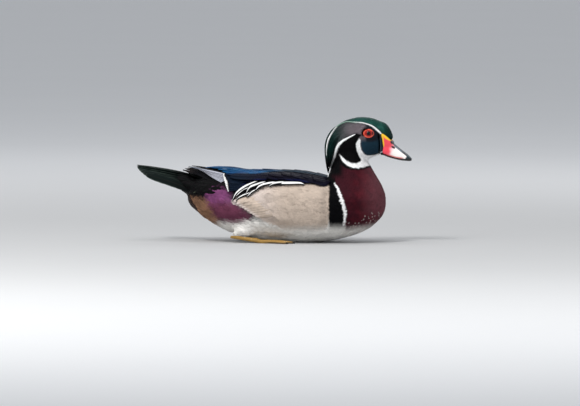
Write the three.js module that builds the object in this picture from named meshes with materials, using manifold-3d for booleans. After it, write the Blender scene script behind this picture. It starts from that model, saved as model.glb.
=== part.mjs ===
// A drake wood duck at life size, in the pose of a bird afloat, set down on its belly.
// Millimetres. +X points to the bill, +Y to the bird's left and +Z up. The floor is z = 0.
import * as THREE from 'three';
import { mergeVertices } from 'three/addons/utils/BufferGeometryUtils.js';
import Module from 'manifold-3d';

const wasm = await Module();
wasm.setup();

// Driving sizes.
const seamGap = 0.3; // between touching pieces
const seatFlat = 1.0; // how far the belly is flattened where it rests
const torsoSteps = 22;
const torsoSides = 24;
const neckSides = 22;
const headSides = 20;
const padSeat = 0.9; // height of a feather pad's inner face over the curve of the torso
const overlapRoll = 15; // degrees each vane of a row is turned, so it lies over its neighbour
const eyeballRadius = 6.2;
const eyePlace = new THREE.Vector3(122.6, 12.6, 142.7);
const lidRadius = 6.5;
const lidThick = 1.25;
const mouthGap = 0.5;
const vaneThick = 1.0;

// The torso from rump to breast: x, top, bottom, half width, height of the widest line.
const torsoStations = [
  [-113, 68, 58, 1, 63],
  [-111, 75, 49, 13, 62.5],
  [-103, 82.5, 41, 26, 61],
  [-86, 88, 27, 37, 59],
  [-58, 91, 12, 47, 55],
  [-20, 93, 2, 54, 51],
  [25, 92.5, -1, 56, 48],
  [62, 87, 0, 54, 47],
  [95, 81, 6, 48, 48],
  [122, 73, 16, 37, 50],
  [139, 65, 30, 23, 52],
  [145, 60, 40, 13, 52],
  [147, 54, 50, 1, 52],
];

// The neck from inside the breast to inside the head: height, front x, rear x, half width, forward lean of the ring.
const neckStations = [
  [38, 139, 68, 37, 0],
  [50, 146.4, 61, 44.5, 0],
  [59, 146.8, 60, 45.5, 0.01],
  [68, 144.2, 61, 42, 0.03],
  [77, 139.6, 64, 36, 0.05],
  [86, 133.8, 68, 30, 0.08],
  [95, 128.2, 72.5, 25, 0.12],
  [103, 124, 76, 21.4, 0.15],
  [112, 121.4, 78, 18.8, 0.15],
  [124, 119, 80, 16.5, 0.15],
  [134, 114, 84, 12, 0.15],
];

// The head from nape to bill base: x, top, bottom, half width, height of the widest line.
const headStations = [
  [77.5, 131, 122, 1, 127],
  [79.5, 142, 113, 10, 128],
  [86, 151, 105, 15.5, 129],
  [97, 158.2, 101, 18.6, 131],
  [110, 161.8, 101.5, 19.6, 133],
  [122, 162, 106, 18.8, 136],
  [133, 159.8, 111.5, 16.6, 137],
  [143, 154.5, 114.5, 13.2, 135.5],
  [149.5, 147, 116, 10.8, 132.5],
  [153.5, 137, 118, 8.8, 128],
  [155.5, 128, 120, 1, 124],
];

// The bill from inside the face to the nail: x, top, bottom, half width, height of the widest line.
const billStations = [
  [128, 140, 116, 6, 124],
  [136, 142.5, 115, 12.6, 123],
  [142, 140.4, 113.2, 12.3, 121],
  [149, 134.6, 110.6, 10.6, 118],
  [157, 127.4, 108.4, 9.4, 115],
  [165, 120.9, 106.7, 8.8, 112.2],
  [172, 115.6, 106.2, 8.1, 110.4],
  [177, 111.8, 106, 5.6, 109],
  [179.4, 109.2, 107, 1.2, 108.2],
];

// Where the upper bill meets the feathers of the face, in side view.
const billCorner = { x: 138.8, z: 142.6 };
const culmenStart = { x: 154.6, z: 130.4 };
const gape = { x: 139.8, z: 117.6 };
const nailLine = { x: 170.8, lean: 0.5 };

// Smooth interpolation through rows of numbers, each row one station, by the share t from 0 to 1.
function along(rows, t) {
  const spans = rows.length - 1;
  const at = THREE.MathUtils.clamp(t, 0, 1) * spans;
  const i = Math.min(Math.floor(at), spans - 1);
  const f = at - i;
  const row = (k) => rows[THREE.MathUtils.clamp(k, 0, spans)];
  return rows[0].map((_, c) => {
    const [a, b, d, e] = [row(i - 1)[c], row(i)[c], row(i + 1)[c], row(i + 2)[c]];
    const slopeIn = (d - a) / 2;
    const slopeOut = (e - b) / 2;
    const f2 = f * f;
    const f3 = f2 * f;
    return (2 * f3 - 3 * f2 + 1) * b + (f3 - 2 * f2 + f) * slopeIn
      + (3 * f2 - 2 * f3) * d + (f3 - f2) * slopeOut;
  });
}

// The share t at which the first number of the rows reaches a value.
function shareAt(rows, value) {
  let low = 0;
  let high = 1;
  for (let i = 0; i < 24; i += 1) {
    const mid = (low + high) / 2;
    if (along(rows, mid)[0] < value) low = mid;
    else high = mid;
  }
  return (low + high) / 2;
}

// Solids.

function geometryFrom(points, triangles) {
  const geometry = new THREE.BufferGeometry();
  geometry.setAttribute('position', new THREE.Float32BufferAttribute(points.flatMap((p) => [p.x, p.y, p.z]), 3));
  geometry.setIndex(triangles);
  return geometry;
}

function signedVolume(geometry) {
  const at = geometry.getAttribute('position');
  const index = geometry.getIndex();
  const [a, b, c] = [new THREE.Vector3(), new THREE.Vector3(), new THREE.Vector3()];
  let volume = 0;
  for (let i = 0; i < index.count; i += 3) {
    a.fromBufferAttribute(at, index.getX(i));
    b.fromBufferAttribute(at, index.getX(i + 1));
    c.fromBufferAttribute(at, index.getX(i + 2));
    volume += a.dot(b.cross(c)) / 6;
  }
  return volume;
}

// A closed geometry as a manifold solid with its faces pointing out.
function solid(source) {
  const bare = source.clone();
  bare.deleteAttribute('normal');
  bare.deleteAttribute('uv');
  const merged = mergeVertices(bare, 1e-4);
  const index = Array.from(merged.getIndex().array);
  if (signedVolume(merged) < 0) {
    for (let i = 0; i < index.length; i += 3) [index[i + 1], index[i + 2]] = [index[i + 2], index[i + 1]];
  }
  return new wasm.Manifold(new wasm.Mesh({
    numProp: 3,
    vertProperties: new Float32Array(merged.getAttribute('position').array),
    triVerts: new Uint32Array(index),
  }));
}

function largest(body) {
  return body.decompose().reduce((best, piece) => (piece.volume() > best.volume() ? piece : best));
}

function fuse(bodies) {
  return bodies.reduce((sum, body) => sum.add(body));
}

function geometryOf(body) {
  const mesh = body.getMesh();
  const geometry = new THREE.BufferGeometry();
  geometry.setAttribute('position', new THREE.BufferAttribute(new Float32Array(mesh.vertProperties), 3));
  geometry.setIndex(new THREE.BufferAttribute(new Uint32Array(mesh.triVerts), 1));
  geometry.computeVertexNormals();
  return geometry;
}

// Rings of equal length closed into one surface, with a fan at each end.
function ringSurface(rings) {
  const sides = rings[0].length;
  const points = rings.flat();
  const triangles = [];
  for (let i = 0; i + 1 < rings.length; i += 1) {
    for (let j = 0; j < sides; j += 1) {
      const a = i * sides + j;
      const b = i * sides + ((j + 1) % sides);
      triangles.push(a, b, a + sides, b, b + sides, a + sides);
    }
  }
  const middle = (ring) => ring.reduce((sum, p) => sum.add(p), new THREE.Vector3()).divideScalar(sides);
  const first = points.push(middle(rings[0])) - 1;
  const last = points.push(middle(rings[rings.length - 1])) - 1;
  const end = (rings.length - 1) * sides;
  for (let j = 0; j < sides; j += 1) {
    const next = (j + 1) % sides;
    triangles.push(first, next, j, last, end + j, end + next);
  }
  return geometryFrom(points, triangles);
}

// A slab between an outer and an inner grid of points of the same size, closed round its rim.
function slabSurface(outer, inner) {
  const rows = outer.length;
  const columns = outer[0].length;
  const points = [...outer.flat(), ...inner.flat()];
  const under = rows * columns;
  const triangles = [];
  for (let i = 0; i + 1 < rows; i += 1) {
    for (let j = 0; j + 1 < columns; j += 1) {
      const a = i * columns + j;
      const b = a + 1;
      const c = a + columns;
      const d = c + 1;
      triangles.push(a, b, d, a, d, c);
      triangles.push(under + a, under + d, under + b, under + a, under + c, under + d);
    }
  }
  const rim = [];
  for (let j = 0; j < columns; j += 1) rim.push(j);
  for (let i = 1; i < rows; i += 1) rim.push(i * columns + columns - 1);
  for (let j = columns - 2; j >= 0; j -= 1) rim.push((rows - 1) * columns + j);
  for (let i = rows - 2; i > 0; i -= 1) rim.push(i * columns);
  rim.forEach((a, k) => {
    const b = rim[(k + 1) % rim.length];
    triangles.push(a, under + a, b, b, under + a, under + b);
  });
  return geometryFrom(points, triangles);
}

// Body surfaces, each from its table of stations.

const sectionFullness = 0.9; // under 1 makes a section squarer than an ellipse

function sectionPoint(x, top, bottom, half, level, degrees) {
  const angle = THREE.MathUtils.degToRad(degrees);
  const round = (v) => Math.sign(v) * Math.abs(v) ** sectionFullness;
  const rise = Math.sin(angle) > 0 ? top - level : level - bottom;
  return new THREE.Vector3(x, half * round(Math.cos(angle)), level + rise * round(Math.sin(angle)));
}

function crossRings(stations, steps, sides, grow) {
  return Array.from({ length: steps + 1 }, (_, i) => {
    const [x, top, bottom, half, level] = along(stations, i / steps);
    const outward = grow * (2 * i / steps - 1); // moves the end rings out along x too
    return Array.from({ length: sides }, (__, j) => sectionPoint(
      x + outward, top + grow, bottom - grow, half + grow, level, (360 * j) / sides));
  });
}

function torso(grow = 0) {
  return solid(ringSurface(crossRings(torsoStations, torsoSteps, torsoSides, grow)));
}

function head(grow = 0) {
  return solid(ringSurface(crossRings(headStations, 17, headSides, grow)));
}

function bill() {
  return solid(ringSurface(crossRings(billStations, 11, 16, 0)));
}

function neck(grow = 0) {
  const steps = 12;
  const rings = Array.from({ length: steps + 1 }, (_, i) => {
    const [z, front, rear, half, lean] = along(neckStations, i / steps);
    const middle = (front + rear) / 2;
    const reach = (front - rear) / 2 + grow;
    return Array.from({ length: neckSides }, (__, j) => {
      const angle = (2 * Math.PI * j) / neckSides;
      const forward = reach * Math.cos(angle);
      return new THREE.Vector3(middle + forward, (half + grow) * Math.sin(angle), z + lean * forward);
    });
  });
  return solid(ringSurface(rings));
}

// A point over the torso: x along the body, degrees round it from the left side (0) over the back (90), height off it.
function overTorso(x, degrees, height) {
  const point = (px, deg) => {
    const [, top, bottom, half, level] = along(torsoStations, shareAt(torsoStations, px));
    return sectionPoint(px, top, bottom, half, level, deg);
  };
  const here = point(x, degrees);
  const ahead = point(x + 1, degrees).sub(point(x - 1, degrees));
  const round = point(x, degrees + 2).sub(point(x, degrees - 2));
  return here.addScaledVector(round.cross(ahead).normalize(), height);
}

// Feathers.

// One vane: stations from root to tip, each with its middle, the way across, the way up, half width and thickness.
// Both faces are split into triangles alike, and the vane ends in a short edge.
function vane(stations, across = [-1, 1], camber = 0) {
  const rings = stations.map(({ at, side, up, half, thick }) => {
    const rise = (u) => camber * half * (1 - u * u);
    const upper = across.map((u) => at.clone()
      .addScaledVector(side, u * half).addScaledVector(up, rise(u) + thick / 2));
    const lower = across.map((u) => at.clone()
      .addScaledVector(side, u * half).addScaledVector(up, rise(u) - thick / 2));
    return { upper, lower };
  });
  return solid(slabSurface(rings.map((r) => r.upper), rings.map((r) => r.lower)));
}

// The outline of a feather as the share of its full half width at a share s of its length.
function featherOutline(s, rootShare, tipShare) {
  const swell = rootShare + (1 - rootShare) * Math.sin(Math.min(1, s * 1.9) * Math.PI / 2);
  const taper = s < 0.6 ? 1 : tipShare + (1 - tipShare) * Math.sqrt(Math.max(0, 1 - ((s - 0.6) / 0.4) ** 2));
  return swell * taper;
}

// A vane along a curve in space, with the way up at its root and tip.
function freeVane({ curve, upRoot, upTip, half, thick = vaneThick, steps = 4, rootShare = 0.5, tipShare = 0.25 }) {
  const stations = Array.from({ length: steps + 1 }, (_, i) => {
    const s = i / steps;
    const ahead = curve.getTangent(s);
    const lift = upRoot.clone().lerp(upTip, s);
    const side = lift.clone().cross(ahead).normalize();
    return {
      at: curve.getPoint(s),
      side,
      up: ahead.clone().cross(side).normalize(),
      half: half * featherOutline(s, rootShare, tipShare),
      thick: thick * (1 - 0.35 * s),
    };
  });
  return vane(stations);
}

// A vane that lies along the torso, from one place to another, rising off it from root to tip and rolled about
// its own length so that the edge away from the back lies over the next vane down.
function bodyVane({ from, to, bow = 0, heights, half, thick = vaneThick, steps = 4, rootShare = 0.6,
  tipShare = 0.3, roll = overlapRoll }) {
  const place = (s) => {
    const x = THREE.MathUtils.lerp(from[0], to[0], s);
    const degrees = THREE.MathUtils.lerp(from[1], to[1], s) + bow * Math.sin(Math.PI * s);
    return overTorso(x, degrees, THREE.MathUtils.lerp(heights[0], heights[1], s));
  };
  const stations = Array.from({ length: steps + 1 }, (_, i) => {
    const s = i / steps;
    const x = THREE.MathUtils.lerp(from[0], to[0], s);
    const degrees = THREE.MathUtils.lerp(from[1], to[1], s) + bow * Math.sin(Math.PI * s);
    const up = overTorso(x, degrees, 4).sub(overTorso(x, degrees, 0)).normalize();
    const ahead = place(Math.min(1, s + 0.02)).sub(place(Math.max(0, s - 0.02))).normalize();
    const side = up.clone().cross(ahead).normalize().applyAxisAngle(ahead, THREE.MathUtils.degToRad(roll));
    return {
      at: place(s),
      side,
      up: ahead.clone().cross(side).normalize(),
      half: half * featherOutline(s, rootShare, tipShare),
      thick,
    };
  });
  return vane(stations);
}

// A pad of body feathers that hugs the torso: edges(u) gives x and the lower and upper degrees.
function bodyPad({ columns, rows, edges, thick }) {
  const grid = (heightAt) => Array.from({ length: columns + 1 }, (_, i) => {
    const u = i / columns;
    const { x, low, high } = edges(u);
    return Array.from({ length: rows + 1 }, (__, j) => {
      const v = j / rows;
      return overTorso(x, THREE.MathUtils.lerp(low, high, v), heightAt(u, v));
    });
  });
  return solid(slabSurface(grid(thick), grid(() => padSeat)));
}

const rimmed = (v) => Math.sqrt(Math.max(0, 1 - (2 * v - 1) ** 2)); // 0 at both edges, 1 in the middle

// Flesh: the whole bird, then the same a seam larger, to cut what lies on it.
const fleshSeam = fuse([torso(seamGap), neck(seamGap), head(seamGap)]);
const wholeFlesh = fuse([torso(), neck(), head()]);

// Keeps the side of a body that a plane's normal points to, half a seam clear of the plane.
function keepSide(body, point, normal) {
  const n = normal.clone().normalize();
  return body.trimByPlane([n.x, n.y, n.z], n.dot(point) + seamGap / 2);
}

const floorUp = new THREE.Vector3(0, 0, 1);
const throat = { point: new THREE.Vector3(122, 0, 108.5), normal: new THREE.Vector3(0.06, 0, 1) };
const neckBase = { point: new THREE.Vector3(134, 0, 83), normal: new THREE.Vector3(0.1, 0, 1) };
const breastLine = { point: new THREE.Vector3(80, 0, 50), normal: new THREE.Vector3(1, 0, 0.22) };

function cutFlesh() {
  const flip = (plane) => plane.normal.clone().negate();
  const seated = wholeFlesh.trimByPlane([0, 0, 1], 0);
  const headPart = keepSide(seated, throat.point, throat.normal);
  const belowHead = keepSide(seated, throat.point, flip(throat));
  const neckPart = keepSide(belowHead, neckBase.point, neckBase.normal);
  const trunk = keepSide(belowHead, neckBase.point, flip(neckBase));
  const frontOfNeck = keepSide(neckPart, breastLine.point, breastLine.normal);
  const backOfTrunk = keepSide(trunk, breastLine.point, flip(breastLine));
  const backTop = keepSide(belowHead, breastLine.point, flip(breastLine));
  return {
    headPart,
    neckPart: largest(frontOfNeck),
    breastPart: largest(keepSide(trunk, breastLine.point, breastLine.normal)),
    torsoPart: largest(backTop.add(backOfTrunk)),
  };
}

// Bill and face.

// The region in front of the feathers of the face, as a prism across the head, a gap larger where it cuts the head.
function billRegion(gap) {
  const shape = new THREE.Shape();
  shape.moveTo(gape.x - gap, gape.z - 14);
  shape.lineTo(gape.x - gap, gape.z);
  shape.lineTo(gape.x + 1.2 - gap, (gape.z + billCorner.z) / 2);
  shape.lineTo(billCorner.x - gap, billCorner.z + gap);
  shape.quadraticCurveTo(
    (billCorner.x + culmenStart.x) / 2 + 1.6, (billCorner.z + culmenStart.z) / 2 + 1.8 + gap,
    culmenStart.x, culmenStart.z + gap);
  shape.lineTo(culmenStart.x + 3, culmenStart.z + 2);
  shape.lineTo(210, culmenStart.z + 2);
  shape.lineTo(210, gape.z - 14);
  const prism = new THREE.ExtrudeGeometry(shape, { depth: 60, bevelEnabled: false, curveSegments: 6 });
  prism.rotateX(Math.PI / 2);
  prism.translate(0, 30, 0);
  return solid(prism);
}

// The mouth line from the gape to the tip, as a thin wedge across the bill.
function mouthRegion(gap) {
  const line = [[gape.x - 20, gape.z + 5], [gape.x, gape.z - 1], [150, 113.2], [160, 110.4], [170, 109], [185, 108.4]];
  const shape = new THREE.Shape();
  shape.moveTo(line[0][0], line[0][1] + gap);
  line.slice(1).forEach(([x, z]) => shape.lineTo(x, z + gap));
  shape.lineTo(185, 80);
  shape.lineTo(line[0][0], 80);
  const prism = new THREE.ExtrudeGeometry(shape, { depth: 60, bevelEnabled: false });
  prism.rotateX(Math.PI / 2);
  prism.translate(0, 30, 0);
  return solid(prism);
}

function nostril(side) {
  const pit = new THREE.SphereGeometry(1, 8, 5);
  pit.scale(2.6, 1.6, 1.1);
  pit.rotateY(THREE.MathUtils.degToRad(35));
  pit.translate(157.6, side * 6.6, 123.2);
  return solid(pit);
}

function eyeCentre(side) {
  return new THREE.Vector3(eyePlace.x, side * eyePlace.y, eyePlace.z);
}

// The way the eye looks: out to the side, a little forward and up.
function eyeAxis(side) {
  return new THREE.Vector3(0.16, side, 0.13).normalize();
}

function eyeball(side, grow = 0) {
  const ball = new THREE.SphereGeometry(eyeballRadius + grow, 14, 9);
  ball.translate(...eyeCentre(side).toArray());
  return solid(ball);
}

// The bare ring of skin round the eye, standing a little proud of the face.
function lidRing(side) {
  const ring = new THREE.TorusGeometry(lidRadius, lidThick, 6, 16);
  ring.scale(1.06, 0.9, 1);
  const turn = new THREE.Quaternion().setFromUnitVectors(new THREE.Vector3(0, 0, 1), eyeAxis(side));
  ring.applyQuaternion(turn);
  ring.translate(...eyeCentre(side).addScaledVector(eyeAxis(side), 4.4).toArray());
  return solid(ring);
}

function face(headPart) {
  const region = billRegion(seamGap);
  return largest([region, eyeball(1, seamGap), eyeball(-1, seamGap)].reduce((body, cut) => body.subtract(cut), headPart));
}

function bills(headPart) {
  const whole = bill().add(headPart).intersect(billRegion(0));
  const lowerBand = mouthRegion(-mouthGap / 2);
  const upper = largest(whole.subtract(mouthRegion(mouthGap / 2)))
    .subtract(nostril(1)).subtract(nostril(-1));
  const nailPoint = new THREE.Vector3(nailLine.x, 0, 110);
  const nailNormal = new THREE.Vector3(1, 0, nailLine.lean);
  const chin = billRegion(0).intersect(lowerBand).intersect(whole);
  return {
    upper: largest(keepSide(upper, nailPoint, nailNormal.clone().negate())),
    nail: largest(keepSide(upper, nailPoint, nailNormal)),
    lower: largest(chin.trimByPlane([-1, 0, 0], -176.5)),
  };
}

// Crest.

// The middle line of the crest's outer face, from the crown over the nape to its lowest tips.
const crestLine = new THREE.CatmullRomCurve3([
  [118, 163.2], [106, 163.1], [94, 160.4], [83, 154.6], [74, 146], [68.4, 135.5], [66, 124], [66.6, 110],
  [68.2, 98], [70.2, 88.6],
].map(([x, z]) => new THREE.Vector3(x, 0, z)));
const crestHalf = [[0, 9], [0.25, 15.5], [0.5, 16.5], [0.75, 13.5], [1, 8.5]];

function crestFrame(s) {
  const at = crestLine.getPointAt(THREE.MathUtils.clamp(s, 0, 1));
  const ahead = crestLine.getTangentAt(THREE.MathUtils.clamp(s, 0, 1));
  return { at, ahead, inward: ahead.clone().cross(new THREE.Vector3(0, 1, 0)).normalize() };
}

// A point in the crest: share s along it, share across it from -1 to 1, depth under its outer face.
function inCrest(s, across, depth) {
  const { at, inward } = crestFrame(s);
  const half = along(crestHalf.map(([, h]) => [h]), s)[0];
  const wrap = THREE.MathUtils.degToRad(across * 82);
  return at.clone()
    .addScaledVector(inward, depth + half * 1.05 * (1 - Math.cos(wrap)))
    .add(new THREE.Vector3(0, (half - depth * 0.6) * Math.sin(wrap), 0));
}

function plume({ from, to, across, half, depths }) {
  const steps = 4;
  const spread = (s) => across * THREE.MathUtils.lerp(1, 0.86, s);
  const place = (s, off = 0) => inCrest(
    THREE.MathUtils.lerp(from, to, s), spread(s), THREE.MathUtils.lerp(depths[0], depths[1], s) + off);
  const stations = Array.from({ length: steps + 1 }, (_, i) => {
    const s = i / steps;
    const up = place(s, -2).sub(place(s, 2)).normalize();
    const ahead = place(Math.min(1, s + 0.03)).sub(place(Math.max(0, s - 0.03))).normalize();
    const side = up.clone().cross(ahead).normalize();
    return {
      at: place(s),
      side,
      up: ahead.clone().cross(side).normalize(),
      half: half * (s < 0.35 ? 0.75 + 0.25 * (s / 0.35) : 1 - 0.8 * ((s - 0.35) / 0.65) ** 1.6),
      thick: 1.4 - 0.5 * s,
    };
  });
  return vane(stations, [-1, 0, 1], 0.12);
}

// The tiers of plumes from the crown down: where they start and end along the crest, how many and how wide.
const crestTiers = [
  { from: 0.1, to: 0.47, count: 5, half: 4.6, depths: [5, 0.8] },
  { from: 0.22, to: 0.66, count: 6, half: 4, depths: [5.6, 1] },
  { from: 0.34, to: 0.84, count: 5, half: 3.8, depths: [5.8, 1.1] },
  { from: 0.46, to: 1, count: 4, half: 3.6, depths: [6, 1.2] },
];

function crestCore() {
  const steps = 6;
  const rings = Array.from({ length: steps + 1 }, (_, i) => {
    const s = THREE.MathUtils.lerp(0.12, 0.6, i / steps);
    const shrink = i === 0 || i === steps ? 0.3 : 1;
    return Array.from({ length: 12 }, (__, j) => {
      const turn = (2 * Math.PI * j) / 12;
      return inCrest(s, 0.84 * shrink * Math.cos(turn), 7.4 - 4 * shrink * Math.sin(turn));
    });
  });
  return solid(ringSurface(rings));
}

function crest() {
  const plumes = crestTiers.flatMap(({ from, to, count, half, depths }, tier) => (
    Array.from({ length: count }, (_, k) => {
      const across = ((k + 0.5) / count) * 2 - 1;
      const shorter = 0.02 * ((k * 7 + tier * 3) % 4);
      return plume({ from, to: to - shorter * Math.abs(across), across, half, depths });
    })));
  return fuse([crestCore(), ...plumes]);
}

// Back and wings, built for the left side.

// Scapulars: a pad over the shoulder with two tiers of long vanes, the front tier over the rear one.
function scapulars() {
  const pad = bodyPad({
    columns: 7,
    rows: 4,
    edges: (u) => ({ x: THREE.MathUtils.lerp(63, 0, u), low: 57, high: 84 - 4 * u }),
    thick: (u, v) => padSeat + 0.5 + 3.4 * rimmed(v) * rimmed(0.5 * u + 0.12),
  });
  const tiers = [
    { root: 14, tip: -44, start: 2.2, rise: 3.2 },
    { root: 44, tip: -12, start: 2.6, rise: 6.2 },
  ];
  const vanes = tiers.flatMap(({ root, tip, start, rise }) => [0, 1, 2].map((k) => bodyVane({
    from: [root - 2 * k, 66 + 6 * k], to: [tip - 4 * k, 61 + 8.5 * k], heights: [start, rise], half: 7.2, tipShare: 0.4,
  })));
  return fuse([pad, ...vanes]);
}

// A folded wing: a pad of small feathers, then tertials over secondaries over primaries.
function wing() {
  const pad = bodyPad({
    columns: 9,
    rows: 3,
    edges: (u) => ({ x: THREE.MathUtils.lerp(58, -52, u), low: 39.5 - 12 * u * u, high: 53.5 - 2 * u }),
    thick: (u, v) => padSeat + 0.5 + 2.8 * rimmed(v) * rimmed(0.45 * u + 0.1),
  });
  const tertials = [0, 1, 2].map((k) => bodyVane({
    from: [-16 - 2 * k, 41 + 4 * k], to: [-66 - 1 * k, 32 + 10.5 * k], bow: 1, heights: [2.6, 5.8],
    half: 7.6, tipShare: 0.55,
  }));
  const secondaries = [0, 1, 2, 3].map((k) => bodyVane({
    from: [-40, 30 + 6.5 * k], to: [-70 - 1.5 * k, 22 + 10.5 * k], heights: [1.8, 2.9], half: 6.2, tipShare: 0.5,
  }));
  const primaries = [0, 1, 2, 3].map((k) => {
    const root = overTorso(-44, 50 - 3 * k, 1.6 - 0.1 * k);
    const reach = 1 - 0.1 * k;
    const tip = new THREE.Vector3(-44 - 68 * reach, 13 + 2.5 * k, 100.6 - 3.1 * k);
    const middle = root.clone().lerp(tip, 0.5).add(new THREE.Vector3(0, 5, 1.2 - 0.6 * k));
    return freeVane({
      curve: new THREE.QuadraticBezierCurve3(root, middle, tip),
      upRoot: new THREE.Vector3(0, 0.75, 0.66),
      upTip: new THREE.Vector3(0.1, 0.6, 0.8),
      half: 5, thick: 1.1, rootShare: 0.7, tipShare: 0.2,
    });
  });
  return fuse([pad, ...tertials, ...secondaries, ...primaries]);
}

// The flank: a full pad of body feathers with barred plumes along its upper edge.
function flank() {
  const edges = (u) => {
    const x = THREE.MathUtils.lerp(71, -54, u);
    const back = Math.max(0, u - 0.62) / 0.38;
    return { x, low: -60 + 64 * Math.max(0, (u - 0.4) / 0.6) ** 1.2, high: 34 - 27 * back ** 1.6 };
  };
  const pad = bodyPad({
    columns: 11,
    rows: 7,
    edges,
    thick: (u, v) => padSeat + 0.6 + 4.6 * rimmed(v) ** 0.8 * rimmed(0.06 + 0.92 * u) ** 0.5,
  });
  const plumes = [0, 1, 2, 3, 4].map((k) => bodyVane({
    from: [30 - 17 * k, 21 - 1.5 * k], to: [-6 - 11 * k, 26 - 1.2 * k * k], bow: 2,
    heights: [4.2, 5.2], half: 3.8, tipShare: 0.3, roll: -8,
  }));
  return fuse([pad, ...plumes]);
}

// Tail, and the coverts over and under it.

// One middle feather on top, then pairs outward, each pair under the one before and a little shorter.
const tailPairs = 6;
const tailSpread = 4.7; // between neighbouring tips
const tailSlope = 0.055; // how much more each pair leans down outward
const tailStep = 1.3; // clear height between neighbouring vanes

function tailFeather(k, side) {
  const lean = tailSlope * k;
  const fall = (spacing) => k * tailStep + (tailSlope * spacing * k * k) / 2;
  const root = new THREE.Vector3(-111, k ? side * (3.6 + 2.4 * k) : 0, 84.6 - fall(2.4) * 0.75);
  const tip = new THREE.Vector3(-179.3 + 0.42 * k * k, k ? side * (2.8 + tailSpread * k) : 0, 97.8 - fall(tailSpread));
  const middle = root.clone().lerp(tip, 0.5).add(new THREE.Vector3(0, 0, -2.4));
  return freeVane({
    curve: new THREE.QuadraticBezierCurve3(root, middle, tip),
    upRoot: new THREE.Vector3(0, side * lean, 1),
    upTip: new THREE.Vector3(0, side * lean, 1),
    half: 7.1, thick: 0.9, rootShare: 0.55, tipShare: 0.45,
  });
}

function tail() {
  const core = Array.from({ length: 4 }, (_, i) => {
    const s = i / 3;
    const half = 21 - 2 * s;
    const deep = i === 3 ? 2.2 : 5.6 - 2.4 * s;
    return Array.from({ length: 10 }, (__, j) => {
      const turn = (2 * Math.PI * j) / 10;
      const y = half * Math.cos(turn);
      return new THREE.Vector3(-109 - 21 * s, y, 79.4 + 3 * s - 0.009 * y * y + deep * Math.sin(turn));
    });
  });
  const vanes = [tailFeather(0, 1)];
  for (let k = 1; k <= tailPairs; k += 1) vanes.push(tailFeather(k, 1), tailFeather(k, -1));
  return fuse([solid(ringSurface(core)), ...vanes]);
}

function upperCoverts() {
  const pad = bodyPad({
    columns: 4,
    rows: 7,
    edges: (u) => ({ x: THREE.MathUtils.lerp(-78, -105, u), low: 34, high: 146 }),
    thick: (u, v) => padSeat + 0.6 + 3.2 * rimmed(v) * rimmed(0.5 * u + 0.1),
  });
  const vanes = [[-2, -1, 0, 1, 2], [-1.5, -0.5, 0.5, 1.5]].flatMap((places, tier) => places.map((place) => {
    const lean = place / 2;
    const root = overTorso(-98 + 14 * tier, 90 - 32 * lean, 2.6);
    const lift = tier ? 4.4 : 2.2;
    const tip = new THREE.Vector3(-124 + 14 * tier, 21 * lean, 87.6 + lift - 5.5 * lean * lean);
    const middle = root.clone().lerp(tip, 0.5).add(new THREE.Vector3(0, 1.2 * lean, 1.2));
    return freeVane({
      curve: new THREE.QuadraticBezierCurve3(root, middle, tip),
      upRoot: new THREE.Vector3(0, 0.5 * lean, 1),
      upTip: new THREE.Vector3(0, 0.4 * lean, 1),
      half: 5, thick: 1, rootShare: 0.75, tipShare: 0.3, steps: 3,
    });
  }));
  return fuse([pad, ...vanes]);
}

function underCoverts() {
  const core = Array.from({ length: 5 }, (_, i) => {
    const s = i / 4;
    const half = (i === 0 || i === 4 ? 9 : 19) - 4 * s;
    const deep = i === 0 || i === 4 ? 4 : 9.5 - 3 * s;
    return Array.from({ length: 12 }, (__, j) => {
      const turn = (2 * Math.PI * j) / 12;
      return new THREE.Vector3(-99 - 15 * s, half * Math.cos(turn), 55.5 + 3 * s + deep * Math.sin(turn));
    });
  });
  const vanes = [-1, 0, 1].map((lean) => {
    const curve = new THREE.QuadraticBezierCurve3(
      new THREE.Vector3(-106, 8 * lean, 57), new THREE.Vector3(-115, 9.6 * lean, 59),
      new THREE.Vector3(-125 + 2 * Math.abs(lean), 10.4 * lean, 66));
    return freeVane({
      curve, upRoot: new THREE.Vector3(0, 0, 1), upTip: new THREE.Vector3(0.5, 0, 1),
      half: 4.6, thick: 1.4, rootShare: 0.8, tipShare: 0.3, steps: 3,
    });
  });
  return fuse([solid(ringSurface(core)), ...vanes]);
}

// Legs, built for the left side, tucked under beside the belly.

const hock = new THREE.Vector3(-50, 37, 9);
const ankle = new THREE.Vector3(-15, 41, 3.6);

// A limb of round rings along a curve, with a radius at each share of it.
function limb(curve, radii, steps, sides) {
  const rings = Array.from({ length: steps + 1 }, (_, i) => {
    const s = i / steps;
    const ahead = curve.getTangent(s);
    const side = new THREE.Vector3(0, 0, 1).cross(ahead).normalize();
    const up = ahead.clone().cross(side);
    const [radius] = along(radii.map((r) => [r]), s);
    return Array.from({ length: sides }, (__, j) => {
      const turn = (2 * Math.PI * j) / sides;
      return curve.getPoint(s)
        .addScaledVector(side, radius * Math.cos(turn))
        .addScaledVector(up, radius * Math.sin(turn));
    });
  });
  return solid(ringSurface(rings));
}

function thigh() {
  const curve = new THREE.QuadraticBezierCurve3(
    new THREE.Vector3(-16, 33, 21), new THREE.Vector3(-34, 38, 16), hock.clone().add(new THREE.Vector3(1.5, 0, 1.5)));
  return keepSide(limb(curve, [5, 9.5, 8.5, 6, 3.6], 6, 12), hock, floorUp);
}

function shank() {
  const curve = new THREE.QuadraticBezierCurve3(hock, new THREE.Vector3(-34, 38.4, 5.2), ankle);
  const whole = limb(curve, [3.4, 2.7, 2.3, 2.4, 3], 6, 8);
  return keepSide(keepSide(whole, hock, floorUp.clone().negate()), ankle, new THREE.Vector3(-1, 0, 0))
    .trimByPlane([0, 0, 1], 0);
}

const toeTips = [[19, 33], [31, 45], [25, 57]].map(([x, y]) => new THREE.Vector3(x, y, 1.3));
const footBall = new THREE.Vector3(-10, 41.6, 2);

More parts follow.
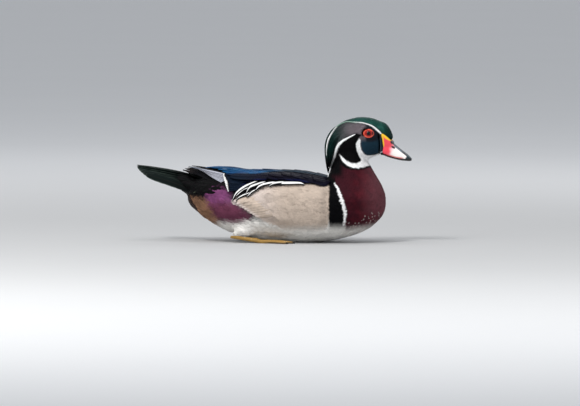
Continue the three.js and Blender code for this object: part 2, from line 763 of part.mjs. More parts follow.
function foot() {
  const toes = toeTips.map((tip) => {
    const knuckle = footBall.clone().lerp(tip, 0.5).setZ(2.6);
    const claw = tip.clone().add(tip.clone().sub(footBall).setZ(0).setLength(4.5)).setZ(0.7);
    const line = new THREE.CatmullRomCurve3([footBall, knuckle, tip, claw]);
    return limb(line, [2.6, 2.2, 1.9, 1.7, 1.2, 0.4], 5, 6);
  });
  // Webs between the toes, each with a hollow front edge.
  const webs = [0, 1].map((k) => {
    const [a, b] = [toeTips[k], toeTips[k + 1]];
    const dip = a.clone().add(b).multiplyScalar(0.5).lerp(footBall, 0.2);
    const shape = new THREE.Shape();
    shape.moveTo(footBall.x, footBall.y);
    shape.lineTo(a.x - 3, a.y);
    shape.quadraticCurveTo(dip.x, dip.y, b.x - 3, b.y);
    const web = new THREE.ExtrudeGeometry(shape, { depth: 0.9, bevelEnabled: false, curveSegments: 4 });
    web.translate(0, 0, 0.5);
    return solid(web);
  });
  const heel = limb(new THREE.QuadraticBezierCurve3(
    new THREE.Vector3(ankle.x + 0.5, ankle.y, 3.2), new THREE.Vector3(-12, 41.2, 2.8), footBall), [2.6, 2.6, 2.4], 2, 8);
  const hindToe = limb(new THREE.QuadraticBezierCurve3(
    new THREE.Vector3(-10, 40, 2), new THREE.Vector3(-14, 36.6, 2), new THREE.Vector3(-20, 34.2, 1)), [1.6, 1.4, 0.7], 3, 6);
  const whole = fuse([heel, hindToe, ...toes, ...webs]).trimByPlane([0, 0, 1], 0);
  return largest(whole.trimByPlane([1, 0, 0], -25));
}

// Assembly.

const colours = {
  torso: [0x8f857a, 0.8],
  breast: [0x4a1420, 0.7],
  neck: [0x44131f, 0.7],
  head: [0x14302c, 0.45],
  crest: [0x123a30, 0.45],
  bill: [0xd8465a, 0.4],
  nail: [0x15171a, 0.35],
  lower_bill: [0x1a1a1c, 0.4],
  eye: [0xb01212, 0.08],
  lid: [0xe0402a, 0.45],
  scapular: [0x141a22, 0.45],
  wing: [0x10233a, 0.4],
  flank: [0xb9a68f, 0.75],
  tail: [0x0f1416, 0.5],
  covert: [0x17120f, 0.6],
  leg: [0xb99a3e, 0.6],
  thigh: [0x6e675e, 0.8],
};

const bird = new THREE.Group();

function show(name, body, colour, mirrored = false) {
  const [hex, roughness] = colours[colour];
  const material = new THREE.MeshStandardMaterial({ color: hex, roughness, metalness: 0, flatShading: true });
  const mesh = new THREE.Mesh(geometryOf(body), material);
  mesh.name = name;
  if (mirrored) mesh.scale.y = -1;
  bird.add(mesh);
}

// A piece of plumage or leg on each side: the left one as built, the right one its mirror image.
function showPair(name, body, colour) {
  show(`${name}_left`, body, colour);
  show(`${name}_right`, body, colour, true);
}

const { headPart, neckPart, breastPart, torsoPart } = cutFlesh();
show('torso', torsoPart, 'torso');
show('breast', breastPart, 'breast');
show('neck', neckPart, 'neck');
show('head', face(headPart), 'head');

const { upper, nail, lower } = bills(headPart);
show('bill_upper', upper, 'bill');
show('bill_nail', nail, 'nail');
show('bill_lower', lower, 'lower_bill');

showPair('eye', eyeball(1), 'eye');
showPair('lid', largest(lidRing(1).subtract(eyeball(1, seamGap)).subtract(head(seamGap))), 'lid');

const onFlesh = (body) => largest(body.subtract(fleshSeam));
show('crest', onFlesh(crest()), 'crest');
showPair('scapulars', onFlesh(scapulars()), 'scapular');
showPair('wing', onFlesh(wing()), 'wing');
showPair('flank', onFlesh(flank()), 'flank');
show('tail', onFlesh(tail()), 'tail');
show('tail_coverts_upper', onFlesh(upperCoverts()), 'covert');
show('tail_coverts_under', onFlesh(underCoverts()), 'covert');
showPair('thigh', onFlesh(thigh()), 'thigh');
showPair('shank', shank(), 'leg');
showPair('foot', foot(), 'leg');

export default bird;
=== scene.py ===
import math

import bmesh
import bpy
import numpy as np
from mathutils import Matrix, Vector
from mathutils.bvhtree import BVHTree
from mathutils.kdtree import KDTree


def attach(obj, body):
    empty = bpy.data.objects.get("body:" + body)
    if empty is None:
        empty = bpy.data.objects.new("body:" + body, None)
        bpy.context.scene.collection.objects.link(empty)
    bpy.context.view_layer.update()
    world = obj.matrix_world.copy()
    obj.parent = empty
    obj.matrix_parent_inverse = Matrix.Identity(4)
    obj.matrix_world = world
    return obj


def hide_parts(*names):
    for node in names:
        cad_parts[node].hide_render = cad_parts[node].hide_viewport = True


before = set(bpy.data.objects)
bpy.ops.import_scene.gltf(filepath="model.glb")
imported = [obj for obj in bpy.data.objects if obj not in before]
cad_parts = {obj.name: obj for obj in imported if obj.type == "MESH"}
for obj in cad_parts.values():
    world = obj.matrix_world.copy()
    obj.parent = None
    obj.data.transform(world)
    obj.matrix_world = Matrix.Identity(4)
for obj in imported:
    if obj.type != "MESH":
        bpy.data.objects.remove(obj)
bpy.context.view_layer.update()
print("solids loaded:", len(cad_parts))

# A drake wood duck at life size. Lengths are in millimetres until a mesh is written, +X points to the bill,
# +Y to the bird's left and +Z up. The left side is laid out and the right side mirrors it.
mm = 0.001

# The picture looks along this direction, and the markings are measured on it as X to the right and Z up.
look = {"azimuth": 10.0, "elevation": 3.0, "distance": 10472.0, "aim": (20.54, 52.35), "clear": 400.0}
lookTurn = math.radians(look["azimuth"])
lookRise = math.radians(look["elevation"])
lookBack = np.array([math.sin(lookTurn) * math.cos(lookRise), -math.cos(lookTurn) * math.cos(lookRise),
                     math.sin(lookRise)])
lookRight = np.array([math.cos(lookTurn), math.sin(lookTurn), 0.0])
lookUp = np.array([-math.sin(lookTurn) * math.sin(lookRise), math.cos(lookTurn) * math.sin(lookRise),
                   math.cos(lookRise)])
floatLine = np.array([0.0, -45.0, 40.0])  # a point on the near side that keeps its height in the picture
floatRise = floatLine @ lookUp - floatLine[2]
lookAim = lookRight * look["aim"][0] + lookUp * (look["aim"][1] + floatRise)
lookFrom = lookAim + lookBack * look["distance"]


def sideView(points):
    # Where points show in the picture, with the far side folded onto the near one.
    near = np.stack([points[:, 0], -np.abs(points[:, 1]), points[:, 2]], axis=1)
    flat = np.stack([near @ lookRight, near @ lookUp - floatRise], axis=1)
    nearer = look["distance"] / (look["distance"] - near @ lookBack)
    return look["aim"] + (flat - look["aim"]) * nearer[:, None]


def raysTo(flat):
    # From the camera through points of the picture's plane.
    flat = np.asarray(flat, float)
    aims = lookRight * flat[:, :1] + lookUp * (flat[:, 1:] + floatRise)
    return (aims - lookFrom) / np.linalg.norm(aims - lookFrom, axis=1, keepdims=True)


# Numbers and lines

def unit(vectors):
    return vectors / np.maximum(np.linalg.norm(vectors, axis=-1, keepdims=True), 1e-9)


def blend(a, b, share):
    return a + (b - a) * share


def ease(low, high, values):
    t = np.clip((values - low) / (high - low), 0.0, 1.0)
    return t * t * (3 - 2 * t)


def along(rows, shares):
    # Smooth rows of numbers, each row one station, read at shares from 0 to 1.
    rows = np.asarray(rows, float)
    place = np.clip(np.atleast_1d(shares), 0, 1) * (len(rows) - 1)
    i = np.minimum(place.astype(int), len(rows) - 2)
    f = (place - i)[:, None]
    a, b = rows[np.maximum(i - 1, 0)], rows[i]
    c, d = rows[i + 1], rows[np.minimum(i + 2, len(rows) - 1)]
    into, outOf = (c - a) / 2, (d - b) / 2
    return ((2 * f**3 - 3 * f**2 + 1) * b + (f**3 - 2 * f**2 + f) * into
            + (3 * f**2 - 2 * f**3) * c + (f**3 - f**2) * outOf)


def shareOf(rows, values):
    # The share at which the first number of the rows reaches a value, for rows that rise.
    shares = np.linspace(0, 1, 801)
    return np.interp(values, along(rows, shares)[:, 0], shares)


def evenLine(points, count):
    # A smooth line through the points, cut into equal steps.
    fine = along(points, np.linspace(0, 1, 40 * len(points)))
    run = np.concatenate([[0], np.cumsum(np.linalg.norm(np.diff(fine, axis=0), axis=1))])
    wanted = np.linspace(0, run[-1], count)
    return np.stack([np.interp(wanted, run, fine[:, k]) for k in range(fine.shape[1])], axis=1)


def lineDistance(points, line, reach=9.0):
    # Distance from flat points to a line of flat points, the share along it, and the side (+ is to its left).
    # Points further than the reach from its box are left out and get a large distance.
    low, high = line.min(axis=0) - reach, line.max(axis=0) + reach
    close = np.flatnonzero(((points > low) & (points < high)).all(axis=1))
    near = points[close]
    best = np.full(len(near), 1e3)
    share, side = np.zeros(len(near)), np.zeros(len(near))
    for k in range(len(line) - 1):
        a, step = line[k], line[k + 1] - line[k]
        off = near - a
        t = np.clip(off @ step / max(step @ step, 1e-9), 0, 1)
        gap = np.hypot(off[:, 0] - t * step[0], off[:, 1] - t * step[1])
        closer = gap < best
        best[closer] = gap[closer]
        share[closer] = (k + t[closer]) / (len(line) - 1)
        side[closer] = np.sign(step[0] * off[closer, 1] - step[1] * off[closer, 0])
    found = [np.full(len(points), 1e3), np.zeros(len(points)), np.zeros(len(points))]
    for whole, part in zip(found, (best, share, side)):
        whole[close] = part
    return found


def insideOf(points, loop):
    # How far inside a flat loop the points are, negative outside it.
    closed = np.vstack([loop, loop[:1]])
    gap = lineDistance(points, closed)[0]
    crossings = np.zeros(len(points), int)
    for (x0, z0), (x1, z1) in zip(closed[:-1], closed[1:]):
        spans = (z0 > points[:, 1]) != (z1 > points[:, 1])
        reach = x0 + (points[:, 1] - z0) * (x1 - x0) / (z1 - z0 if z1 != z0 else 1e-9)
        crossings += spans & (points[:, 0] < reach)
    return np.where(crossings % 2 == 1, gap, -gap)


def closedLoop(points, count=90):
    # A smooth closed loop through flat points.
    points = np.asarray(points, float)
    wrapped = np.vstack([points[-2:], points, points[:3]])
    fine = along(wrapped, np.linspace(0, 1, 30 * len(wrapped)))
    lead = 2 / (len(wrapped) - 1)
    span = len(points) / (len(wrapped) - 1)
    keep = np.linspace(lead, lead + span, count, endpoint=False)
    shares = np.linspace(0, 1, len(fine))
    return np.stack([np.interp(keep, shares, fine[:, k]) for k in range(2)], axis=1)


def smoothNoise(points, size, seed):
    # Soft waves from -1 to 1 that vary over about the given size.
    turn = np.random.default_rng(seed)
    total = np.zeros(len(points))
    for _ in range(7):
        way = unit(turn.normal(size=(1, points.shape[1])))[0]
        total += np.sin(points @ way * (2 * math.pi / size) * turn.uniform(0.6, 1.7) + turn.uniform(0, 6.3))
    return np.clip(total / 3.2, -1, 1)


def paint(red, green, blue):
    # A colour picked on screen, 0 to 255, as the linear light that shaders and colour maps hold.
    value = np.array([red, green, blue], float) / 255
    return np.where(value <= 0.04045, value / 12.92, ((value + 0.055) / 1.055) ** 2.4)


# Meshes

def buildMesh(name, points, faces, colour=None, extras=None, places=None, smooth=True):
    # points in millimetres, faces as a list of whole-number arrays of three or four columns.
    corners = np.concatenate([f.ravel() for f in faces]).astype(np.int32)
    sizes = np.concatenate([np.full(len(f), f.shape[1]) for f in faces])
    starts = (np.cumsum(sizes) - sizes).astype(np.int32)
    mesh = bpy.data.meshes.new(name)
    mesh.vertices.add(len(points))
    mesh.vertices.foreach_set("co", (np.asarray(points) * mm).astype(np.float32).ravel())
    mesh.loops.add(len(corners))
    mesh.loops.foreach_set("vertex_index", corners)
    mesh.polygons.add(len(sizes))
    mesh.polygons.foreach_set("loop_start", starts)
    mesh.polygons.foreach_set("use_smooth", np.full(len(sizes), smooth))
    mesh.update(calc_edges=True)
    dress(mesh, colour, extras)
    if places is not None:
        layer = mesh.uv_layers.new(name="OFBake")
        layer.data.foreach_set("uv", places[corners].astype(np.float32).ravel())
    piece = bpy.data.objects.new(name, mesh)
    bpy.context.scene.collection.objects.link(piece)
    return piece


def dress(mesh, colour=None, extras=None):
    # Writes colours and other values that belong to each point.
    if colour is not None:
        layer = mesh.color_attributes.new("col", "FLOAT_COLOR", "POINT")
        full = np.concatenate([colour, np.ones((len(colour), 1))], axis=1)
        layer.data.foreach_set("color", full.astype(np.float32).ravel())
    for key, values in (extras or {}).items():
        kind = "FLOAT" if values.ndim == 1 else "FLOAT_VECTOR"
        layer = mesh.attributes.new(key, kind, "POINT")
        field = "value" if kind == "FLOAT" else "vector"
        layer.data.foreach_set(field, values.astype(np.float32).ravel())


def pointsOf(mesh):
    flat = np.zeros(len(mesh.vertices) * 3, np.float32)
    mesh.vertices.foreach_get("co", flat)
    return flat.reshape(-1, 3).astype(float) / mm


def setPoints(mesh, points):
    mesh.vertices.foreach_set("co", (points * mm).astype(np.float32).ravel())
    mesh.update()


def normalsOf(mesh):
    flat = np.zeros(len(mesh.vertices) * 3, np.float32)
    mesh.vertex_normals.foreach_get("vector", flat)
    return flat.reshape(-1, 3).astype(float)


def loft(rings, closed=True):
    # Rings of equal length joined into a surface. A closed one has a fan over each end.
    rings = np.asarray(rings)
    count, sides = rings.shape[:2]
    i, j = np.meshgrid(np.arange(count - 1), np.arange(sides), indexing="ij")
    a, b = i * sides + j, i * sides + (j + 1) % sides
    quads = np.stack([a, b, b + sides, a + sides], axis=-1).reshape(-1, 4)
    points = rings.reshape(-1, 3)
    if not closed:
        return points, [quads]
    middles = np.array([rings[0].mean(axis=0), rings[-1].mean(axis=0)])
    k = np.arange(sides)
    first, last, end = len(points), len(points) + 1, (count - 1) * sides
    caps = np.concatenate([
        np.stack([np.full(sides, first), (k + 1) % sides, k], axis=1),
        np.stack([np.full(sides, last), end + k, end + (k + 1) % sides], axis=1)])
    return np.vstack([points, middles]), [quads, caps]


def relax(mesh, rounds, hold=0.53, keep=None):
    # Evens a mesh out without shrinking it. keep, 0 to 1 for each point, holds points back.
    edges = np.zeros(len(mesh.edges) * 2, np.int32)
    mesh.edges.foreach_get("vertices", edges)
    a, b = edges.reshape(-1, 2).T
    points = pointsOf(mesh)
    count = np.maximum(np.bincount(a, minlength=len(points)) + np.bincount(b, minlength=len(points)), 1)
    for _ in range(rounds):
        for strength in (0.5, -hold):
            pull = np.stack([np.bincount(a, points[b, k], len(points))
                             + np.bincount(b, points[a, k], len(points))
                             for k in range(3)], axis=1) / count[:, None] - points
            if keep is not None:
                pull *= (1 - keep)[:, None]
            points = points + strength * pull
    setPoints(mesh, points)


def settled(piece):
    # The piece's mesh with its modifiers worked in.
    mesh = bpy.data.meshes.new_from_object(piece.evaluated_get(bpy.context.evaluated_depsgraph_get()))
    piece.modifiers.clear()
    return mesh


def remeshed(piece, size):
    # The piece as one even closed surface.
    step = piece.modifiers.new("even", "REMESH")
    step.mode = "VOXEL"
    step.voxel_size = size * mm
    step.use_smooth_shade = True
    piece.data = settled(piece)
    return piece


def grownCopy(names, grow, extra=()):
    # Welded copies of solids, and of point-and-face pairs in extra, each a little larger, in one piece.
    whole = bmesh.new()
    for name in names:
        one = bmesh.new()
        one.from_mesh(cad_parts[name].data)
        bmesh.ops.remove_doubles(one, verts=one.verts, dist=1e-6)
        bmesh.ops.recalc_face_normals(one, faces=one.faces)
        one.normal_update()
        for vert in one.verts:
            vert.co += vert.normal * grow * mm
        part = bpy.data.meshes.new(name + "Copy")
        one.to_mesh(part)
        one.free()
        whole.from_mesh(part)
        bpy.data.meshes.remove(part)
    for points, faces in extra:
        made = [whole.verts.new(p * mm) for p in points]
        for group in faces:
            for face in group:
                whole.faces.new([made[k] for k in face])
    bmesh.ops.recalc_face_normals(whole, faces=whole.faces)
    mesh = bpy.data.meshes.new("flesh")
    whole.to_mesh(mesh)
    whole.free()
    piece = bpy.data.objects.new("flesh", mesh)
    bpy.context.scene.collection.objects.link(piece)
    return piece


class Surface:
    # Finds the nearest place on a mesh, with its smooth normal, and where a ray meets it.
    def __init__(self, mesh):
        self.points = pointsOf(mesh)
        self.normals = normalsOf(mesh)
        mesh.calc_loop_triangles()
        flat = np.zeros(len(mesh.loop_triangles) * 3, np.int32)
        mesh.loop_triangles.foreach_get("vertices", flat)
        self.faces = flat.reshape(-1, 3)
        self.tree = BVHTree.FromPolygons(self.points.tolist(), self.faces.tolist())

    def normalAt(self, places, index):
        corners = self.points[self.faces[index]]
        weight = 1 / np.maximum(np.linalg.norm(corners - places[:, None, :], axis=2), 0.02)
        return unit((self.normals[self.faces[index]] * weight[:, :, None]).sum(axis=1))

    def nearest(self, points):
        hits = [self.tree.find_nearest(p) for p in points.tolist()]
        places = np.array([hit[0] for hit in hits])
        return places, self.normalAt(places, np.array([hit[2] for hit in hits]))

    def cast(self, starts, ways):
        # Where each ray first meets the surface. A ray that misses keeps the nearest place to its start.
        places, index = [], []
        for start, way in zip(starts.tolist(), ways.tolist()):
            hit = self.tree.ray_cast(start, way)
            if hit[0] is None:
                hit = self.tree.find_nearest(start)
            places.append(hit[0])
            index.append(hit[2])
        places = np.array(places)
        return places, self.normalAt(places, np.array(index))


# The body's forms, fitted to the picture. The solids differ from them by some millimetres, most at the breast.

torsoStations = np.array([
    # x, top, bottom, half width, height of the widest line
    [-114.5, 68, 58, 1, 63], [-112.5, 75, 49, 13, 62.5], [-104, 82.5, 41, 26, 61], [-87, 88, 27, 37, 59],
    [-58, 91, 12, 47, 55], [-20, 93, 2, 54, 51], [26, 92.5, -1, 56, 48], [64, 87, 0, 54, 47],
    [97, 79, 6, 48, 48], [124, 66, 16, 36, 48], [141, 58, 30, 22, 49], [147, 54, 40, 12, 49],
    [149, 50, 46, 1, 48]], float)


def onTorso(x, degrees):
    row = along(torsoStations, shareOf(torsoStations, x))
    angle = np.radians(degrees)
    across = np.sign(np.cos(angle)) * np.abs(np.cos(angle)) ** 0.9
    rise = np.sign(np.sin(angle)) * np.abs(np.sin(angle)) ** 0.9
    room = np.where(rise > 0, row[:, 1] - row[:, 4], row[:, 4] - row[:, 2])
    return np.stack([x, row[:, 3] * across, row[:, 4] + room * rise], axis=1)


# How much lower than the solids the back lies under its feathers, along x.
sagLine = np.array([[-118, 1.5], [-105, 2.4], [-78, 1.4], [-56, 1.9], [-36, 4.2], [4, 3.5], [20, 2.8],
                    [45, 1.4], [70, 1.2], [86, 0]])


def backSag(points):
    y, z = np.abs(points[:, 1]), points[:, 2]
    return np.interp(points[:, 0], *sagLine.T)[:, None] * (ease(40, 18, y) * ease(66, 82, z)
                                                           * ease(104, 94, z)
                                                           )[:, None] * [0, 0, 1]


def overTorso(x, degrees, height):
    # Places over the torso: along it, degrees round it from the left side over the back at 90, and height
    # off it.
    x, degrees, height = [np.asarray(v, float) for v in np.broadcast_arrays(x, degrees, height)]
    ahead = onTorso(x + 1, degrees) - onTorso(x - 1, degrees)
    round_ = onTorso(x, degrees + 2) - onTorso(x, degrees - 2)
    up = unit(np.cross(round_, ahead))
    place = onTorso(x, degrees)
    return place - backSag(place) + up * height[:, None], up


crestLine = evenLine(np.array([
    [119.8, 163.2], [107.6, 163.1], [95.4, 160.4], [84.3, 154.6], [75.1, 146], [69.5, 135.5], [67, 124],
    [67.6, 110], [69.3, 98], [71.3, 88.6]]), 200)
crestHalf = np.array([9, 15.5, 16.5, 13.5, 8.5])
crestSunk = 2.0  # how far the plumes lie under the solid's top line


def inCrest(s, across, depth):
    # Places in the crest: share along it, share across it from -1 to 1, and depth under its outer face.
    s, across, depth = [np.atleast_1d(v).astype(float) for v in np.broadcast_arrays(s, across, depth)]
    reach = np.clip(s, 0, 1) * (len(crestLine) - 1)
    at = np.stack([np.interp(reach, np.arange(len(crestLine)), crestLine[:, k]) for k in (0, 1)], axis=1)
    step = np.gradient(crestLine, axis=0)
    ahead = unit(np.stack([np.interp(reach, np.arange(len(crestLine)), step[:, k]) for k in (0, 1)], axis=1))
    half = along(crestHalf[:, None], s)[:, 0]
    wrap = np.radians(across * 82)
    depth = depth + crestSunk * ease(0.6, 0.3, s)
    inward = depth + half * 1.05 * (1 - np.cos(wrap))
    return np.stack([at[:, 0] - ahead[:, 1] * inward, (half - depth * 0.6) * np.sin(wrap),
                     at[:, 1] + ahead[:, 0] * inward], axis=1)


# Skin

skinPlan = {
    "voxel": 1.35,  # how fine the skin's faces are
    "smoothRounds": 16,
    "bodyCoat": 1.1,  # how deep the skin lies under the solids, for the feathers on it
    "headCoat": 0.75,
    "flankSwell": 4.4,
    "wingBed": 1.0,
    "crestDepth": 2.0,
    "crownRise": 0.9,
    "browRise": 3.2,  # fuller than the solid over the bill
}

# Outlines of the flank and of the wing's bed, in the picture's plane.
flankLoop = closedLoop([[70.5, 74.5], [50, 76.3], [26, 75.8], [8, 74.6], [-5, 73], [-20, 69.8], [-38, 63],
                        [-54.5, 54.5], [-43, 47.5], [-30, 40], [-12, 29], [10, 20], [36, 15], [60, 14],
                        [70, 26], [71, 52]])
wingLoop = closedLoop([[66, 86], [40, 92], [0, 95], [-40, 94], [-62, 88], [-58, 70], [-40, 66], [-15, 74],
                       [20, 79], [52, 79]])


def crestBed():
    rings = []
    for s in np.linspace(0.03, 0.9, 22):
        shrink = 1 - 0.75 * ease(0.72, 0.92, s)
        outer = inCrest(s, np.linspace(-0.92, 0.92, 11) * shrink, skinPlan["crestDepth"])
        inner = inCrest(s, np.linspace(0.8, -0.8, 7) * shrink, skinPlan["crestDepth"] + 10 * shrink)
        rings.append(np.vstack([outer, inner]))
    return loft(rings)


# The root of the tail: x, height of its middle, half width and half depth.
tailRoot = [[-92, 62, 24, 17], [-98, 65.5, 23, 17], [-105, 69.5, 20.5, 16], [-112, 73, 17.5, 14.5],
            [-120, 77, 14, 12], [-128, 80.8, 10.5, 9], [-134, 83.6, 7, 5.6], [-138, 85.4, 3, 2.4]]


def tailBed():
    turn = np.linspace(0, 2 * math.pi, 28, endpoint=False)
    return loft([np.stack([np.full(28, x), half * np.cos(turn), z + deep * np.sin(turn)], axis=1)
                 for x, z, half, deep in tailRoot])


def makeSkin():
    flesh = ["torso", "breast", "neck", "head", "thigh_left", "thigh_right"]
    skin = remeshed(grownCopy(flesh, 0.3, [crestBed(), tailBed()]), skinPlan["voxel"])
    skin.name = "skin"
    relax(skin.data, skinPlan["smoothRounds"])
    points, normals = pointsOf(skin.data), normalsOf(skin.data)
    flat = sideView(points)
    swell = skinPlan["flankSwell"] * ease(0, 13, insideOf(flat, flankLoop))
    swell += skinPlan["wingBed"] * ease(0, 16, insideOf(flat, wingLoop))
    onHead = ease(104, 118, points[:, 2])
    depth = blend(skinPlan["bodyCoat"], skinPlan["headCoat"], onHead) + 0.3
    depth -= skinPlan["crownRise"] * ease(148, 158, points[:, 2]) * ease(0.2, 0.7, normals[:, 2])
    overBill = ease(0.3, 3, points[:, 2] + 1.03 * points[:, 0] - 291.7)
    front = ease(137, 148, points[:, 0]) * ease(131, 135, points[:, 2]) * overBill
    depth -= skinPlan["browRise"] * front * ease(0.15, 0.6, normals[:, 0] + normals[:, 2] - 0.3)
    points += normals * np.where(points[:, 2] > 100, -depth, swell - depth)[:, None]
    points[:, 2] = np.maximum(points[:, 2], 0.35)
    setPoints(skin.data, points - backSag(points))
    relax(skin.data, 3)
    # The thighs melt into the belly.
    thigh = (ease(-88, -78, points[:, 0]) * ease(-14, -26, points[:, 0])
             * ease(20, 28, np.abs(points[:, 1])) * ease(48, 38, points[:, 2]))
    relax(skin.data, 90, hold=0.3, keep=1 - thigh)
    return skin


skin = makeSkin()
surface = Surface(skin.data)
print("skin made:", len(skin.data.vertices), "points")


# Markings, the same for the skin and all that grows from it, laid out in the picture's plane

browLine = evenLine(np.array([
    [139.6, 141.8], [135, 146], [129, 151], [122, 154.4], [114, 156.4], [105, 157], [98, 157.6],
    [92.3, 157.4], [86, 154.8], [80.7, 151], [76.6, 145.5], [73.2, 140.5], [70.6, 135], [68.9, 128],
    [68.2, 121], [68.4, 114]]), 90)
browWidths = [1.0, 1.15, 1.0, 0.75, 0.55, 0.4, 0.3, 0.3, 0.35, 0.45, 0.6, 0.75, 0.8, 0.7, 0.6, 0.35]
cheekLine = evenLine(np.array([
    [105.3, 141.6], [99.6, 138.8], [94.5, 136.0], [89.4, 133.2], [84.9, 128.9], [81.9, 124.2], [80.0, 118.4],
    [78.2, 112.6], [76.0, 105.1], [73.8, 98.1], [71.5, 90.6], [70.3, 86.5]]), 80)
cheekWidths = [0.3, 0.75, 1.0, 1.3, 1.6, 1.6, 1.5, 1.35, 1.2, 1.1, 0.95, 0.7]
barLine = evenLine(np.array([
    [78.9, 77.5], [81.3, 73], [83.8, 67.8], [87.2, 57.5], [90, 48.4], [91.6, 40.5], [91.8, 32], [90.5, 24]]),
    60)
barWidths = [0.8, 1.5, 1.8, 1.9, 1.9, 1.8, 1.5, 0.5]
throatLoop = np.array([
    [110.3, 136.1], [112.4, 134.7], [111.8, 128.3], [113.2, 121.3], [117.3, 115.8], [120.8, 114.2],
    [129.5, 114.8], [134, 116.0], [137.4, 117.2], [138.6, 116.2], [142, 106], [126, 101], [123.7, 101],
    [120.8, 100.1], [115, 98.4], [106.9, 97.2], [98.7, 98.7], [92.9, 102.4], [88.3, 107.4], [84.8, 115.8],
    [89.4, 111.4], [94.1, 106.9], [99.9, 104.2], [106.9, 103.8], [111.5, 105.9], [113.2, 107.9],
    [109.8, 114.4], [107.2, 121.3], [106.3, 130]])
capLoop = np.array([
    [142, 142], [135, 146], [129, 151], [122, 154.4], [114, 156.4], [105, 157], [92.3, 157.4], [84, 153.6],
    [76.6, 145.5], [68.9, 128], [68.2, 112], [60, 112], [60, 150], [90, 170], [130, 172], [165, 155],
    [166, 126], [156, 128]])
patchLoop = np.array([
    [106.5, 142.8], [94.7, 136.4], [84.9, 128.9], [80, 118.4], [77, 108], [84, 104], [92, 99], [108, 98],
    [118, 104], [112, 116], [108, 128], [110, 137], [114, 141]])
faceLoop = closedLoop(np.array([
    [111.4, 134], [111.6, 125], [115.2, 117.2], [121.5, 113.6], [131, 114.6], [139.5, 118], [141.6, 127],
    [140.2, 137], [135.5, 139], [131, 134.4], [123, 133.2], [116, 136.2]]))
purpleLoop = closedLoop(np.array([
    [-88, 66], [-75, 71.6], [-63.5, 68.5], [-56.5, 62], [-51.5, 55], [-36.6, 43], [-30, 34], [-52, 27],
    [-74, 33], [-83, 44], [-86, 54]]))

# chestnutSheen is a painted sheen: a lighter, greyer chestnut laid over the front of the breast.
palette = {
    "crownGreen": paint(33, 74, 67), "crestGreen": paint(15, 42, 39), "bronze": paint(96, 88, 93),
    "faceTeal": paint(29, 52, 66), "faceBlack": paint(27, 31, 38), "patchBlack": paint(5, 3, 5),
    "white": paint(246, 246, 246), "paleGreen": paint(150, 192, 172), "chestnut": paint(80, 22, 32),
    "chestnutDeep": paint(54, 18, 27), "chestnutSheen": paint(116, 68, 76), "barBlack": paint(4, 4, 6),
    "mantle": paint(17, 16, 19), "rump": paint(12, 10, 12), "purple": paint(120, 66, 108),
    "purpleDeep": paint(102, 54, 74), "tan": paint(166, 124, 96), "buff": paint(198, 181, 166),
    "buffPale": paint(220, 206, 200), "belly": paint(232, 229, 224), "underTail": paint(58, 42, 36),
}


def stripe(flat, line, widths, soft=0.22):
    gap, share, _ = lineDistance(flat, line)
    half = along(np.array(widths, float)[:, None], share)[:, 0]
    return 1 - ease(-soft, soft, gap - half), share


def area(flat, loop, soft=0.6):
    return ease(-soft, soft, insideOf(flat, loop))


def cover(colour, sheen, mask, tint, shine=0.0):
    # Lays a colour and its sheen over what is there, where the mask is 1.
    tint = np.broadcast_to(tint, colour.shape)
    return blend(colour, tint, mask[:, None]), blend(sheen, shine, mask)


